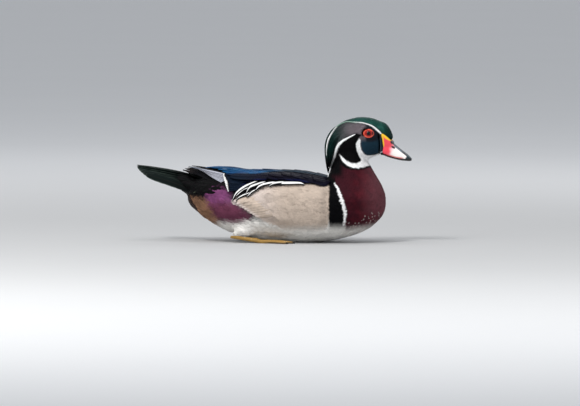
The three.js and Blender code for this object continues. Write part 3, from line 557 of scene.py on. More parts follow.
def markings(points, wander=0.3):
    # The colour and the sheen of the plumage at places on or near the skin.
    rough = wander * (1 - 0.6 * ease(96, 108, points[:, 2])) * (1 + 4 * ease(-52, -64, points[:, 0]))
    jitter = np.stack([smoothNoise(points, 3.1, 5), smoothNoise(points, 2.7, 6)], axis=1) * rough[:, None]
    flat = sideView(points) + jitter
    across, up = flat.T
    y, z = np.abs(points[:, 1]), points[:, 2]
    count = len(points)
    mottle = smoothNoise(points, 14, 8)[:, None]
    p = palette
    colour = np.broadcast_to(p["mantle"], (count, 3)).copy()
    sheen = np.full(count, 0.25)

    # Belly, flank and rear
    colour, sheen = cover(colour, sheen, 1 - ease(24, 40, up + 4 * smoothNoise(points, 20, 9)), p["belly"])
    colour, sheen = cover(colour, sheen, ease(-58, -74, across) * ease(26, 38, up), p["rump"], 0.1)
    lowRear = ease(-66, -80, across) * (1 - ease(54, 63, up + 0.12 * (across + 100)))
    colour, sheen = cover(colour, sheen, lowRear, blend(p["tan"], p["underTail"], 0.35 + 0.3 * mottle))
    purple = blend(p["purpleDeep"], p["purple"], ease(46, 60, up)[:, None])
    colour, sheen = cover(colour, sheen, area(flat, purpleLoop, 5.0), purple * (1 + 0.2 * mottle), 0.3)
    buff = blend(p["buff"], p["buffPale"], ease(20, -50, across)[:, None]) * (1 + 0.05 * mottle)
    colour, sheen = cover(colour, sheen, area(flat, flankLoop, 1.4) * ease(14, 27, up), buff)

    # Breast and neck
    breastEdge = ease(-1.5, 1.5, across - np.interp(up, [20, 40, 60, 77, 84, 90], [92, 91.5, 86, 79, 76, 74]))
    breast = breastEdge * ease(11, 24, up - 0.14 * (across - 90))
    chestnut = blend(p["chestnutDeep"], p["chestnut"],
                     (0.55 + 0.45 * mottle) * ease(86, 118, across)[:, None])
    # Lighter and greyer towards the front and higher up: a painted sheen.
    chestnut = blend(chestnut, p["chestnutSheen"],
                     (0.75 * ease(106, 136, across) * ease(20, 48, up))[:, None])
    colour, sheen = cover(colour, sheen, breast, chestnut, 0.3)
    nape = ease(93, 84, across) * ease(82, 92, up)
    colour, sheen = cover(colour, sheen, nape, p["barBlack"], 0.1)
    onSide = ease(6, 14, y)
    bar = onSide * ease(-1, 1, across - 71.0) * ease(15, 28, up) * ease(92, 80, up)
    bar *= (1 - ease(-0.6, 0.6, across - np.interp(up, [24, 40, 57, 67, 77, 84],
                                                   [91.5, 91, 87, 83.5, 79.5, 80])))
    colour, sheen = cover(colour, sheen, bar, p["barBlack"], 0.1)
    white, _ = stripe(flat, barLine, barWidths)
    colour, sheen = cover(colour, sheen, white * onSide, p["white"])

    # Head
    onHead = ease(-0.6, 0.6, up - np.interp(across, [60, 76, 84, 92, 100, 112, 124, 132],
                                            [84, 90, 105, 98, 95.2, 95, 98.5, 100]))
    forward = ease(73, 110, across)[:, None]
    side = blend(p["crestGreen"], p["bronze"], forward * (1 - 0.35 * ease(150, 158, up)[:, None]))
    side = blend(p["patchBlack"], side, ease(100, 128, up)[:, None])
    head = side * (1 + 0.12 * mottle)
    shine = np.full(count, 0.65)
    cap = blend(p["crestGreen"], p["crownGreen"], (ease(84, 112, across) * ease(156, 140, across))[:, None])
    head, shine = cover(head, shine, area(flat, capLoop), cap, 0.75)
    frontOfEye = ease(117, 121, across) * (1 - area(flat, capLoop, 0.4))
    head, shine = cover(head, shine, frontOfEye, p["faceBlack"], 0.1)
    head, shine = cover(head, shine, area(flat, patchLoop), p["patchBlack"], 0.2)
    tealSpot = ease(-0.5, 3.2, insideOf(flat, faceLoop)) * ease(139, 130, up)
    head, shine = cover(head, shine, tealSpot, p["faceTeal"], 0.7)
    # Thin dark edges beside the white
    rim, share = stripe(flat, cheekLine, np.array(cheekWidths) + 1.0, 0.5)
    head, shine = cover(head, shine, rim * 0.8, p["patchBlack"], 0.2)
    head, shine = cover(head, shine, area(flat, throatLoop, 0.5), p["white"] * (1 + 0.02 * mottle), 0.0)
    white, share = stripe(flat, browLine, browWidths)
    pale = ease(0.34, 0.42, share) * (1 - ease(0.58, 0.64, share)) + ease(0.88, 0.95, share)
    head, shine = cover(head, shine, white * (1 - 0.45 * pale),
                        blend(p["white"], p["paleGreen"], pale[:, None]))
    white, _ = stripe(flat, cheekLine, cheekWidths)
    head, shine = cover(head, shine, white * np.maximum(ease(98, 104, z), ease(3, 6.5, y)), p["white"])
    colour, sheen = blend(colour, head, onHead[:, None]), blend(sheen, shine, onHead)

    # A black line under the white collar
    under = onHead * (1 - area(flat, throatLoop, 0.3)) * ease(76, 86, across) * (1 - ease(103, 106, up))
    colour, sheen = cover(colour, sheen, under * ease(2.2, 1.2, -insideOf(flat, throatLoop)), p["barBlack"])
    tailLine, _ = stripe(flat, cheekLine[-30:], [1.2, 1.2, 1.1, 0.8, 0.45])
    colour, sheen = cover(colour, sheen, tailLine * (1 - onHead) * ease(2, 5.5, y), p["white"])
    return np.clip(colour, 0.001, 1), np.clip(sheen, 0, 1)


def dressSkin():
    colour, sheen = markings(surface.points)
    dress(skin.data, colour, {"sheen": sheen})


dressSkin()
print("markings laid on the skin")


# Materials

class Wire:
    # A socket that can stand in a sum. Numbers go through Math nodes, colours and vectors through their own.
    def __init__(self, recipe, socket):
        self.recipe = recipe
        self.socket = socket

    def sum(self, kind, first, second=None):
        return self.recipe.node("ShaderNodeMath", {"operation": kind}, [first, second])

    def __add__(self, other):
        return self.sum("ADD", self, other)

    def __radd__(self, other):
        return self.sum("ADD", other, self)

    def __sub__(self, other):
        return self.sum("SUBTRACT", self, other)

    def __rsub__(self, other):
        return self.sum("SUBTRACT", other, self)

    def __mul__(self, other):
        return self.sum("MULTIPLY", self, other)

    def __rmul__(self, other):
        return self.sum("MULTIPLY", other, self)

    def sine(self):
        return self.sum("SINE", self)

    def size(self):
        return self.sum("ABSOLUTE", self)

    def between(self, low, high, toLow=0.0, toHigh=1.0):
        # 0 to 1 as this value goes from low to high, kept in that range.
        return self.recipe.node("ShaderNodeMapRange", {"interpolation_type": "SMOOTHSTEP"},
                                [self, low, high, toLow, toHigh])


class Recipe:
    # One material with its nodes. The principled shader's fixed values are set on its own sockets.
    def __init__(self, name, fixed):
        self.material = bpy.data.materials.new(name)
        self.material.use_nodes = True
        self.tree = self.material.node_tree
        self.tree.nodes.clear()
        self.output = self.tree.nodes.new("ShaderNodeOutputMaterial")
        self.shader = self.tree.nodes.new("ShaderNodeBsdfPrincipled")
        self.tree.links.new(self.shader.outputs[0], self.output.inputs["Surface"])
        for key, value in fixed.items():
            self.shader.inputs[key].default_value = value

    def node(self, kind, settings=None, inputs=(), output=0):
        made = self.tree.nodes.new(kind)
        for key, value in (settings or {}).items():
            setattr(made, key, value)
        pairs = inputs.items() if isinstance(inputs, dict) else enumerate(inputs)
        for key, value in pairs:
            if isinstance(value, Wire):
                self.tree.links.new(value.socket, made.inputs[key])
            elif value is not None:
                made.inputs[key].default_value = value
        return Wire(self, made.outputs[output])

    def attribute(self, name, output="Fac"):
        return self.node("ShaderNodeAttribute", {"attribute_name": name}, output=output)

    def parts(self, vector):
        made = self.node("ShaderNodeSeparateXYZ", inputs=[vector])
        return [Wire(self, socket) for socket in made.socket.node.outputs]

    def noise(self, scale, detail=3.0, roughness=0.55, where=None):
        return self.node("ShaderNodeTexNoise", {"noise_dimensions": "3D"},
                         {"Scale": scale, "Detail": detail, "Roughness": roughness,
                          "Vector": where or self.place()})

    def place(self):
        return self.node("ShaderNodeTexCoord", output="Object")

    def stretched(self, scales):
        return self.node("ShaderNodeMapping", {"vector_type": "POINT"},
                         {"Vector": self.place(), "Scale": scales})

    def brighter(self, colour, amount):
        # A colour times a number that varies over the surface.
        return self.node("ShaderNodeVectorMath", {"operation": "SCALE"}, {0: colour, "Scale": amount})

    def feed(self, key, value):
        self.tree.links.new(value.socket, self.shader.inputs[key])

    def bump(self, height, strength, distance):
        self.feed("Normal", self.node("ShaderNodeBump", {}, {
            "Strength": strength, "Distance": distance, "Height": height}))
        return self.material


featherLook = {
    "barbCount": 46.0,  # barbs along a small feather
    "shaftWidth": 0.09,
    "bumpDepth": 0.00016,
}


def featherMaterial(name, barbs, gloss, shine=0.55, shaft=0.18):
    # quill holds the share along a vane, the share across it and a number that differs from vane to vane.
    recipe = Recipe(name, {"Specular IOR Level": 0.05})
    along_, across, chance = recipe.parts(recipe.attribute("quill", "Vector"))
    colour = recipe.attribute("col", "Color")
    sheen = recipe.attribute("sheen")
    barb = ((along_ * barbs - across.size() * barbs * 0.22) * 6.2832).sine()
    shaftLine = 1 - across.size().between(featherLook["shaftWidth"] * 0.4, featherLook["shaftWidth"])
    edge = across.size().between(0.62, 1.0)
    tone = 0.9 + chance * 0.2 + barb * 0.05 - edge * 0.1 + shaftLine * shaft * (1 - along_)
    recipe.feed("Base Color", recipe.brighter(colour, tone))
    recipe.feed("Roughness", gloss + 0.12 * chance + barb * 0.03 - sheen * 0.14)
    recipe.feed("Metallic", sheen * shine)
    height = barb * 0.35 + shaftLine * 0.9 + recipe.noise(900.0, 2.0) * 0.5
    return recipe.bump(height, 0.55, featherLook["bumpDepth"])


def flankMaterial():
    # Buff with fine dark wavy lines across every feather.
    recipe = Recipe("flankFeather", {"Specular IOR Level": 0.2, "Sheen Weight": 0.08, "Sheen Roughness": 0.5})
    along_, across, chance = recipe.parts(recipe.attribute("quill", "Vector"))
    colour = recipe.attribute("col", "Color")
    fine = recipe.node("ShaderNodeTexWave", {"wave_type": "BANDS", "bands_direction": "X"}, {
        "Scale": 420.0, "Distortion": 9.0, "Detail": 3.0, "Detail Scale": 2.2, "Vector": recipe.place()},
        output=1)
    lines = fine.between(0.62, 0.9) * 0.32
    tone = 0.97 + chance * 0.12 - lines - across.size().between(0.7, 1.0) * 0.06
    recipe.feed("Base Color", recipe.brighter(colour, tone))
    recipe.feed("Roughness", 0.62 + 0.1 * chance)
    barb = ((along_ * 30.0 - across.size() * 8.0) * 6.2832).sine()
    return recipe.bump(barb * 0.4 + recipe.noise(800.0, 2.0), 0.5, 0.00016)


def skinMaterial():
    recipe = Recipe("skinUnderFeathers", {"Specular IOR Level": 0.1})
    tone = 0.55 + recipe.noise(260.0, 4.0) * 0.3
    recipe.feed("Base Color", recipe.brighter(recipe.attribute("col", "Color"), tone))
    recipe.feed("Roughness", 0.75 + recipe.noise(90.0) * 0.15)
    return recipe.bump(recipe.noise(700.0, 5.0), 0.6, 0.0003)


coatMaterial = featherMaterial("coatFeather", 14.0, 0.5)
headMaterial = featherMaterial("headFeather", 9.0, 0.4, 0.72)
whiteMaterial = flankMaterial()
vaneMaterial = featherMaterial("flightFeather", featherLook["barbCount"], 0.42, 0.35, 0.2)
plumeMaterial = featherMaterial("crestPlume", 38.0, 0.38, 0.6, 0.12)


def wear(piece, material, *nodes, slot=None):
    # Gives a piece its material and body, and says which solids it stands for.
    piece.data.materials.clear()
    piece.data.materials.append(material)
    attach(piece, "root")
    if nodes:
        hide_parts(*nodes)
    return piece


wear(skin, skinMaterial(), "torso", "breast", "neck", "head", "thigh_left", "thigh_right", slot="torso")


# Coat: small feathers over the skin

coatPlan = {
    "spacing": 0.34,  # between roots, as a share of a feather's length
    "halfWidth": 0.36,
    "lift": 0.1,  # how far a tip stands off, as a share of the length
    "sink": 0.3,  # how deep a root sits under the skin
    "turn": 0.12,  # how far feathers differ in direction
    "patch": 0.003,  # size of one feather on the baking map
}

# Where the coat lies which way, and how long its feathers are: place, direction, length.
layTable = np.array([
    [156, 1, 139, -0.6, 0, 0.8, 1.7], [150, 8, 140, -0.75, 0.2, 0.6, 1.7], [146, 5, 152, -0.8, 0, 0.55, 2.2],
    [135, 4, 159, -0.95, 0, 0.3, 2.8], [120, 4, 162, -1, 0, 0.0, 4.0], [105, 6, 161, -1, 0, -0.2, 4.8],
    [95, 10, 154, -0.85, 0, -0.5, 4.8], [85, 12, 142, -0.5, 0, -0.85, 5.0], [80, 12, 128, -0.2, 0, -1, 5.0],
    [80, 12, 112, -0.05, 0, -1, 5.0], [133, 14, 150, -0.9, 0.1, 0.2, 2.0],
    [118, 16, 151, -1, 0.05, 0.0, 2.8], [112, 18, 140, -1, 0.05, -0.2, 2.6],
    [141, 12, 134, -0.9, 0.25, 0.1, 1.6], [138, 13, 122, -0.9, 0.2, -0.3, 1.6],
    [133, 14, 129, -0.9, 0.2, -0.35, 1.9], [120, 18, 125, -0.85, 0.1, -0.5, 2.4],
    [105, 18, 125, -0.6, 0, -0.8, 3.2], [92, 16, 140, -0.75, 0, -0.65, 4.2],
    [130, 5, 112, -0.9, 0, -0.4, 2.2], [115, 8, 103, -0.6, 0, -0.8, 3.0], [95, 15, 106, -0.3, 0, -0.95, 3.4],
    [126, 6, 98, 0.0, 0, -1, 3.4], [104, 22, 92, -0.15, 0, -1, 4.0], [80, 12, 95, -0.45, 0, -0.9, 4.4],
    [137, 8, 82, 0.15, 0, -1, 4.2], [110, 32, 76, -0.35, 0.1, -0.93, 4.8], [148, 6, 58, -0.05, 0, -1, 5.0],
    [140, 25, 45, -0.5, 0.2, -0.8, 5.4], [122, 36, 52, -0.7, 0.2, -0.6, 5.6],
    [95, 47, 56, -0.9, 0.05, -0.4, 6.0], [130, 8, 16, -1, 0, -0.3, 6.4], [95, 42, 24, -1, 0, -0.15, 6.8],
    [74, 10, 88, -1, 0, -0.05, 6.0], [72, 38, 72, -1, 0, -0.1, 6.0], [20, 0, 92, -1, 0, 0, 8.0],
    [-60, 0, 90, -1, 0, 0, 8.5], [-100, 0, 83, -1, 0, 0.05, 8.5], [40, 56, 50, -1, 0, 0.03, 9.0],
    [0, 57, 48, -1, 0, 0.05, 9.5], [-38, 52, 52, -1, 0, 0.2, 9.0], [-80, 38, 57, -1, -0.1, 0.3, 7.0],
    [-102, 22, 60, -1, -0.1, 0.35, 7.0], [-95, 10, 40, -1, 0, 0.7, 8.0], [60, 20, 3, -1, 0, 0, 8.0],
    [0, 20, 3, -1, 0, 0, 8.5], [-60, 20, 14, -1, 0, 0.2, 8.5], [-80, 0, 24, -1, 0, 0.4, 8.5]], float)

eyePlace = np.array([126.4, 12.4, 141.7])
eyeRadius = 6.05
lidReach = 7.3


def layAt(points):
    # Which way feathers point at these places, and their length, from the table's nearest rows.
    folded = np.stack([points[:, 0], np.abs(points[:, 1]), points[:, 2]], axis=1)
    gaps = np.linalg.norm(folded[:, None, :] - layTable[None, :, :3], axis=2)
    weight = 1 / (gaps + 2) ** 4
    weight /= weight.sum(axis=1, keepdims=True)
    way = weight @ layTable[:, 3:6]
    way[:, 1] *= np.sign(points[:, 1])
    return way, weight @ layTable[:, 6]


def scatter(rooms, seed):
    # Roots over the skin, spaced by each place's feather length. rooms gives 1 where feathers may grow.
    turn = np.random.default_rng(seed)
    corners = surface.points[surface.faces]
    middle = corners.mean(axis=1)
    size = np.linalg.norm(np.cross(corners[:, 1] - corners[:, 0], corners[:, 2] - corners[:, 0]), axis=1) / 2
    allowed = np.flatnonzero(rooms(middle, surface.normals[surface.faces[:, 0]]))
    length = layAt(middle[allowed])[1]
    wanted = size[allowed] / (length * coatPlan["spacing"]) ** 2
    count = int(wanted.sum() * 2.4)
    picked = allowed[turn.choice(len(allowed), count, p=wanted / wanted.sum())]
    u, v = turn.random((2, count))
    u, v = np.where(u + v > 1, 1 - u, u), np.where(u + v > 1, 1 - v, v)
    a, b, c = corners[picked].transpose(1, 0, 2)
    roots = a + (b - a) * u[:, None] + (c - a) * v[:, None]
    gap = layAt(roots)[1] * coatPlan["spacing"] * 0.84
    tree = KDTree(count)
    for k, root in enumerate(roots.tolist()):
        tree.insert(root, k)
    tree.balance()
    free = np.ones(count, bool)
    kept = []
    for k, root in enumerate(roots.tolist()):
        if free[k]:
            kept.append(k)
            for _, other, _ in tree.find_range(root, gap[k]):
                free[other] = False
    kept = np.array(kept)
    return roots[kept], surface.normalAt(roots[kept], picked[kept])


def unwrapRound(points, upright):
    # The skin's shape rolled out: round an upright axis through the head, or round one along the body.
    if upright:
        return np.stack([np.arctan2(points[:, 1], points[:, 0] - 104) / (2 * math.pi) + 0.5,
                         (points[:, 2] - 40) / 135], axis=1)
    return np.stack([(points[:, 0] + 130) / 290,
                     np.arctan2(points[:, 1], points[:, 2] - 48) / (2 * math.pi) + 0.5], axis=1)


def coatPiece(name, rooms, seed, upright=False, shares=(0, 0.3, 0.68, 1), material=None, fine=False,
              flecks=None, longer=1.0, curl=0.0, mixing=0.22, slot="torso"):
    # One piece of coat: a closed-packed set of short vanes with a raised middle.
    turn = np.random.default_rng(seed + 100)
    roots, normals = scatter(rooms, seed)
    way, length = layAt(roots)
    count, steps = len(roots), len(shares)
    length = length * longer * turn.uniform(0.85, 1.15, count)
    way = unit(way - normals * (way * normals).sum(axis=1, keepdims=True))
    across = np.cross(normals, way)
    swing = turn.normal(0, coatPlan["turn"], count)[:, None]
    way = unit(way * np.cos(swing) + across * np.sin(swing))
    place, normal = roots, normals
    widths = np.interp(shares, [0, 0.25, 0.6, 0.85, 1], [0.55, 0.92, 1.0, 0.78, 0.22])
    points = np.zeros((count, steps, 3, 3))
    spots = np.zeros((count, steps, 3, 3))
    tilt = turn.normal(0, 0.1, count)[:, None]
    for k, share in enumerate(shares):
        if k:
            step = (share - shares[k - 1]) * length[:, None]
            place, normal = surface.nearest(place + way * step + normal * 0.2)
            way = unit(way - normal * (way * normal).sum(axis=1, keepdims=True))
        side = np.cross(normal, way)
        half = length[:, None] * coatPlan["halfWidth"] * widths[k]
        height = length[:, None] * coatPlan["lift"] * (share ** 1.2 + curl * share ** 4)
        height = height - coatPlan["sink"] * (1 - share) + 0.12
        for j, u in enumerate((-1, 0, 1)):
            rise = height + half * (0.24 * (1 - abs(u)) + tilt * u)
            spots[:, k, j] = place + side * half * u
            points[:, k, j] = place + side * half * u + normal * rise
    chance = turn.random(count)
    nudge = turn.normal(0, mixing, (count, 1, 3))
    if fine:
        colour, sheen = markings((spots + nudge[:, None]).reshape(-1, 3))
        colour = colour.reshape(count, steps, 3, 3)
        sheen = sheen.reshape(count, steps, 3)
    else:
        colour, sheen = markings((spots[:, :, 1] + nudge).reshape(-1, 3))
        colour = np.repeat(colour.reshape(count, steps, 1, 3), 3, axis=2)
        sheen = np.repeat(sheen.reshape(count, steps, 1), 3, axis=2)
    if flecks:
        colour = flecks(roots, chance, colour)
    i, j = np.meshgrid(np.arange(steps - 1), np.arange(2), indexing="ij")
    a = (i * 3 + j).ravel()
    template = np.stack([a, a + 3, a + 4, a + 1], axis=1)
    faces = (template[None] + (np.arange(count) * steps * 3)[:, None, None]).reshape(-1, 4)
    along_, across_ = np.meshgrid(np.array(shares), np.array([-1.0, 0.0, 1.0]), indexing="ij")
    quill = np.zeros((count, steps, 3, 3))
    quill[..., 0], quill[..., 1], quill[..., 2] = along_, across_, chance[:, None, None]
    patch = np.stack([along_, across_ * 0.5], axis=-1) * coatPlan["patch"]
    places = unwrapRound(roots, upright)[:, None, None, :] + patch[None]
    piece = buildMesh(name, points.reshape(-1, 3), [faces], colour.reshape(-1, 3),
                      {"sheen": sheen.ravel(), "quill": quill.reshape(-1, 3)}, places.reshape(-1, 2))
    wear(piece, material or coatMaterial, slot=slot)
    print("coat", name, count, "feathers,", len(faces) * 2, "triangles")
    return piece


# Which part of the skin each piece of coat grows on

billCorner = [143.7, 141.3]
culmenStart = [156.8, 130.2]
gape = [144.9, 118.2]
billBorder = evenLine(np.array([gape, [145.9, 123.7], [145.6, 128.5], [144.8, 134.7], billCorner,
                                [147.6, 139.7], [151.6, 136.2], culmenStart]), 60)
billSide = np.vstack([billBorder, [[162, 131], [200, 128], [200, 100], [144.9, 100]]])


def openFace(points, normals):
    # Off the eyes, the bill's seat and the underside of the bill.
    toEye = np.stack([points[:, 0] - eyePlace[0], np.abs(points[:, 1]) - eyePlace[1],
                      (points[:, 2] - eyePlace[2]) * 1.12], axis=1)
    offEye = np.linalg.norm(toEye, axis=1) > lidReach
    seat = ((points[:, 0] > 140.5) & (normals[:, 0] > 0.7)
            & (points[:, 2] < 131) & (np.abs(points[:, 1]) < 11.3))
    wedge = (points[:, 0] > 146) & (normals[:, 2] < 0.0) & (points[:, 2] > 122)
    inside = insideOf(points[:, [0, 2]], billSide) > 0.2
    return offEye & ~seat & ~wedge & ~inside


def regionOf(points):
    # The name of the piece of coat that each place belongs to.
    x, y, z = points.T
    flat = sideView(points)
    names = np.full(len(points), "back", dtype="<U8")
    names[(z < 27) | ((z < 40) & (x < -20) & (np.abs(y) < 30))] = "belly"
    names[(x < -58) & (z >= 27)] = "rear"
    inFlank = (insideOf(flat, flankLoop) > -4) & (np.abs(y) > 26) & (z > 20) & (x > -56)
    names[inFlank] = "flanks"
    names[(x > 74) & (z <= 84) & (z > 9) & ~(inFlank & (flat[:, 0] < 72))] = "breast"
    names[(x > 66) & (z > 84)] = "neck"
    names[(z > 101.5) & (x > 60)] = "nape"
    names[(z > 101.5) & (x > 104)] = "face"
    return names


def room(name):
    def test(points, normals):
        allowed = regionOf(points) == name
        covered = insideOf(sideView(points), wingLoop) > 9
        if name in ("face", "nape"):
            return allowed & openFace(points, normals)
        if name in ("back", "flanks", "rear"):
            return allowed & ~covered & (normals[:, 2] > -0.97)
        if name == "belly":
            return allowed & (points[:, 2] > 0.9)
        return allowed
    return test


def breastFlecks(roots, chance, colour):
    # Small pale arrow marks on some feathers, low on the breast.
    low = ease(56, 26, roots[:, 2]) * ease(98, 108, roots[:, 0]) * ease(42, 28, np.abs(roots[:, 1]))
    marked = chance < 0.22 * low
    shares = np.linspace(0, 1, colour.shape[1])
    tip = ease(0.5, 0.8, shares)[None, :, None, None] * np.array([0.1, 1, 0.1])[None, None, :, None]
    return np.where(marked[:, None, None, None], blend(colour, palette["buffPale"], tip * 0.6), colour)


headShares = (0, 0.35, 0.7, 1)
bodyShares = (0, 0.25, 0.5, 0.78, 1)
coatPiece("coatFace", room("face"), 1, upright=True, material=headMaterial, fine=True, shares=headShares,
          mixing=0.08, slot="head")
coatPiece("coatNape", room("nape"), 2, upright=True, material=headMaterial, fine=True, shares=headShares,
          mixing=0.08, slot="crest")
coatPiece("coatNeck", room("neck"), 3, upright=True, fine=True, shares=(0, 0.3, 0.7, 1), slot="breast")
coatPiece("coatBreast", room("breast"), 4, fine=True, shares=bodyShares, flecks=breastFlecks, slot="breast")
coatPiece("coatFlanks", room("flanks"), 5, material=whiteMaterial, shares=bodyShares, slot="flank")
coatPiece("coatBack", room("back"), 6, shares=bodyShares, slot="back")
coatPiece("coatRear", room("rear"), 7, shares=bodyShares, curl=0.4, mixing=0.9, longer=1.15)
coatPiece("coatBelly", room("belly"), 8, shares=(0, 0.3, 0.7, 1))


# Bill

billPlan = {
    "voxel": 0.42,
    "yellowWidth": 2.0,  # of the bright edge next to the face
    "ridgeDeep": 2.4,  # how far the dark ridge reaches down the side
    "sink": 2.0,  # how deep its rear edge lies in the head
    "nostril": (158.1, 124.0),  # x and height
    "nostrilSize": (2.1, 1.2, 0.65),  # half length, half height, depth
    "nailStart": 170.6,  # in the picture's plane
    "lowerNarrow": 0.93,
}
# blue is a painted highlight along the ridge; nail's teal is a painted highlight on the nail's top; pit is
# painted shade in the nostril.
billColours = {
    "coral": paint(246, 70, 88), "pink": paint(252, 168, 178), "white": paint(250, 244, 240),
    "yellow": paint(255, 200, 14), "black": paint(9, 11, 15), "blue": paint(150, 176, 206),
    "nail": paint(18, 52, 60), "tomium": paint(236, 96, 92), "pit": paint(46, 10, 18),
}
billStations = np.array([
    [130, 140, 116, 6, 124], [138.1, 142.5, 115, 12.6, 123], [144.2, 140.4, 113.2, 12.3, 121],
    [151.3, 134.6, 110.6, 10.6, 118], [159.4, 127.4, 108.4, 9.4, 115], [167.5, 120.9, 106.7, 8.8, 112.2],
    [174.6, 115.6, 106.2, 8.1, 110.4], [178.8, 111.8, 106, 5.6, 109], [181, 109.4, 107, 1.2, 108.2]], float)
headStations = np.array([
    [98.5, 158.2, 101, 18.6, 131], [111.7, 161.8, 101.5, 19.6, 133], [123.9, 162, 106, 18.8, 136],
    [135, 159.8, 111.5, 16.6, 137], [145.2, 154.5, 114.5, 13.2, 135.5], [151.8, 147, 116, 10.8, 132.5],
    [155.9, 137, 118, 8.8, 128], [157.9, 128, 120, 1, 124]], float)
billBack = np.array([[140.6, 116.9], [141.8, 124], [141.9, 131], [141.4, 138], [141.6, 143.2], [148.2, 141.6],
                     [152.6, 138.2], [158.0, 131.8]])
mouthLine = np.array([[120, 123], [143.4, 117], [152, 113.2], [162, 110.4], [173, 109], [192, 108.3]])


def crossRings(stations, shares, sides):
    row = along(stations, shares)
    turn = np.linspace(0, 2 * math.pi, sides, endpoint=False)
    across = np.sign(np.cos(turn)) * np.abs(np.cos(turn)) ** 0.9
    rise = np.sign(np.sin(turn)) * np.abs(np.sin(turn)) ** 0.9
    room = np.where(rise > 0, (row[:, 1] - row[:, 4])[:, None], (row[:, 4] - row[:, 2])[:, None])
    return np.stack([np.repeat(row[:, :1], sides, axis=1), row[:, 3:4] * across, row[:, 4:5] + room * rise],
                    axis=2)


def sidePrism(outline, reach=30.0):
    # A side-view outline given as x and height, carried across the bird.
    rings = [[[x, side * reach, z] for x, z in outline] for side in (-1, 1)]
    points, faces = loft(rings)
    return points, faces


def common(piece, tool):
    # What two closed pieces share.
    step = piece.modifiers.new("share", "BOOLEAN")
    step.operation = "INTERSECT"
    step.solver = "EXACT"
    step.object = tool
    made = bpy.data.objects.new("shared", settled(piece))
    bpy.context.scene.collection.objects.link(made)
    bpy.data.objects.remove(tool)
    return made


def billPaint(points, lower):
    flat = sideView(points)
    across, up = flat.T
    y = np.abs(points[:, 1])
    c = billColours
    cloud = smoothNoise(points, 6, 31)
    toWhite = ease(146.5, 157.0, across + 1.2 * cloud - 0.35 * (up - 120))
    colour = blend(c["coral"], c["pink"], ease(0.0, 0.6, toWhite)[:, None])
    colour = blend(colour, c["white"], ease(0.4, 1.0, toWhite)[:, None])
    mouth = np.interp(points[:, 0], mouthLine[:, 0], mouthLine[:, 1])
    rim = ease(2.1, 1.1, points[:, 2] - mouth) * ease(145, 148, across) * ease(170, 164, across)
    colour = blend(colour, c["tomium"], (rim * 0.8)[:, None])
    gap, share, _ = lineDistance(points[:, [0, 2]], billBorder)
    width = billPlan["yellowWidth"] * np.interp(share, [0, 0.14, 0.22, 0.5, 0.58, 0.7, 0.86, 0.94],
                                                [0.0, 0.0, 0.6, 0.8, 1.3, 1.7, 0.9, 0.0])
    behind = insideOf(points[:, [0, 2]], billSide) < 0
    colour = blend(colour, c["yellow"], (ease(0.0, 0.5, width)
                                         * (1 - ease(width - 0.35, width + 0.35, gap)))[:, None])
    # Behind the border lies a thin dark rim, and then the face's own colours.
    face, _ = markings(points)
    rear = blend(np.broadcast_to(c["black"], face.shape), face, ease(1.0, 2.0, gap)[:, None])
    root = np.hypot(points[:, 0] - 157.2, points[:, 2] - 131)
    colour = blend(colour, c["black"], ease(3.0, 2.2, root)[:, None])
    drop = np.interp(points[:, 0], billStations[:, 0], billStations[:, 1]) - points[:, 2]
    deep = billPlan["ridgeDeep"] * ease(154, 160, points[:, 0])
    ridge = ease(deep + 0.3, deep - 0.3, drop) * ease(153.5, 156.5, points[:, 0]) * (up > 111) * ~behind
    ridge = np.maximum(ridge, ease(3.0, 2.4, y) * ease(146.5, 148, points[:, 0]) * (drop < 7) * (up > 111)
                       * ~behind)
    # A painted highlight: a thin pale-blue line along the dark ridge.
    glint = (0.75 * np.exp(-((drop - 1.5) / 0.26) ** 2) * ease(157, 160, points[:, 0])
             * ease(171, 167, points[:, 0]))
    colour = blend(colour, blend(c["black"], c["blue"], np.clip(0.04 + glint, 0, 1)[:, None]), ridge[:, None])
    # The nail is black; the teal over its top is a painted highlight.
    nail = ease(-0.8, 0.8, across - billPlan["nailStart"] - 0.35 * (up - 110) + 0.5 * cloud)
    colour = blend(colour, blend(c["black"], c["nail"], ease(108, 114, up)[:, None]), nail[:, None])
    # The nostril's opening is painted dark over its shallow dent: painted shade.
    x, z = billPlan["nostril"]
    pit = np.hypot((points[:, 0] - x) / 2.3, (points[:, 2] - z + 0.4 * (points[:, 0] - x)) / 1.35)
    colour = blend(colour, c["pit"], ease(1.25, 0.85, pit)[:, None])
    if lower:
        colour = blend(np.broadcast_to(c["black"], colour.shape), colour, 0.04)
    colour = blend(colour, rear, (behind * ease(0.1, 0.5, gap))[:, None])
    return np.clip(colour, 0.001, 1)


def billMaterial():
    recipe = Recipe("billHorn", {"Specular IOR Level": 0.5, "Coat Roughness": 0.25, "Subsurface Weight": 0.08,
                                 "Subsurface Scale": 0.002})
    recipe.shader.inputs["Subsurface Radius"].default_value = (1.0, 0.3, 0.2)
    cloud = recipe.noise(160.0, 4.0)
    grain = recipe.noise(420.0, 4.0, where=recipe.stretched((0.35, 1.0, 1.0)))
    recipe.feed("Base Color", recipe.brighter(recipe.attribute("col", "Color"), 0.9 + cloud * 0.2))
    dull = recipe.attribute("dull")
    recipe.feed("Roughness", 0.28 + cloud * 0.16 + dull * 0.6)
    recipe.feed("Coat Weight", (0.35 - grain * 0.25) * (1 - dull))
    return recipe.bump(grain * 0.8 + recipe.noise(1400.0) * 0.3, 0.35, 0.0002)


def finishPart(piece, name, colour, extras=None):
    dress(piece.data, colour, extras)
    piece.name = name
    piece.data.name = name
    piece.data.shade_smooth()
    piece.data.set_sharp_from_angle(angle=math.radians(40))
    return piece


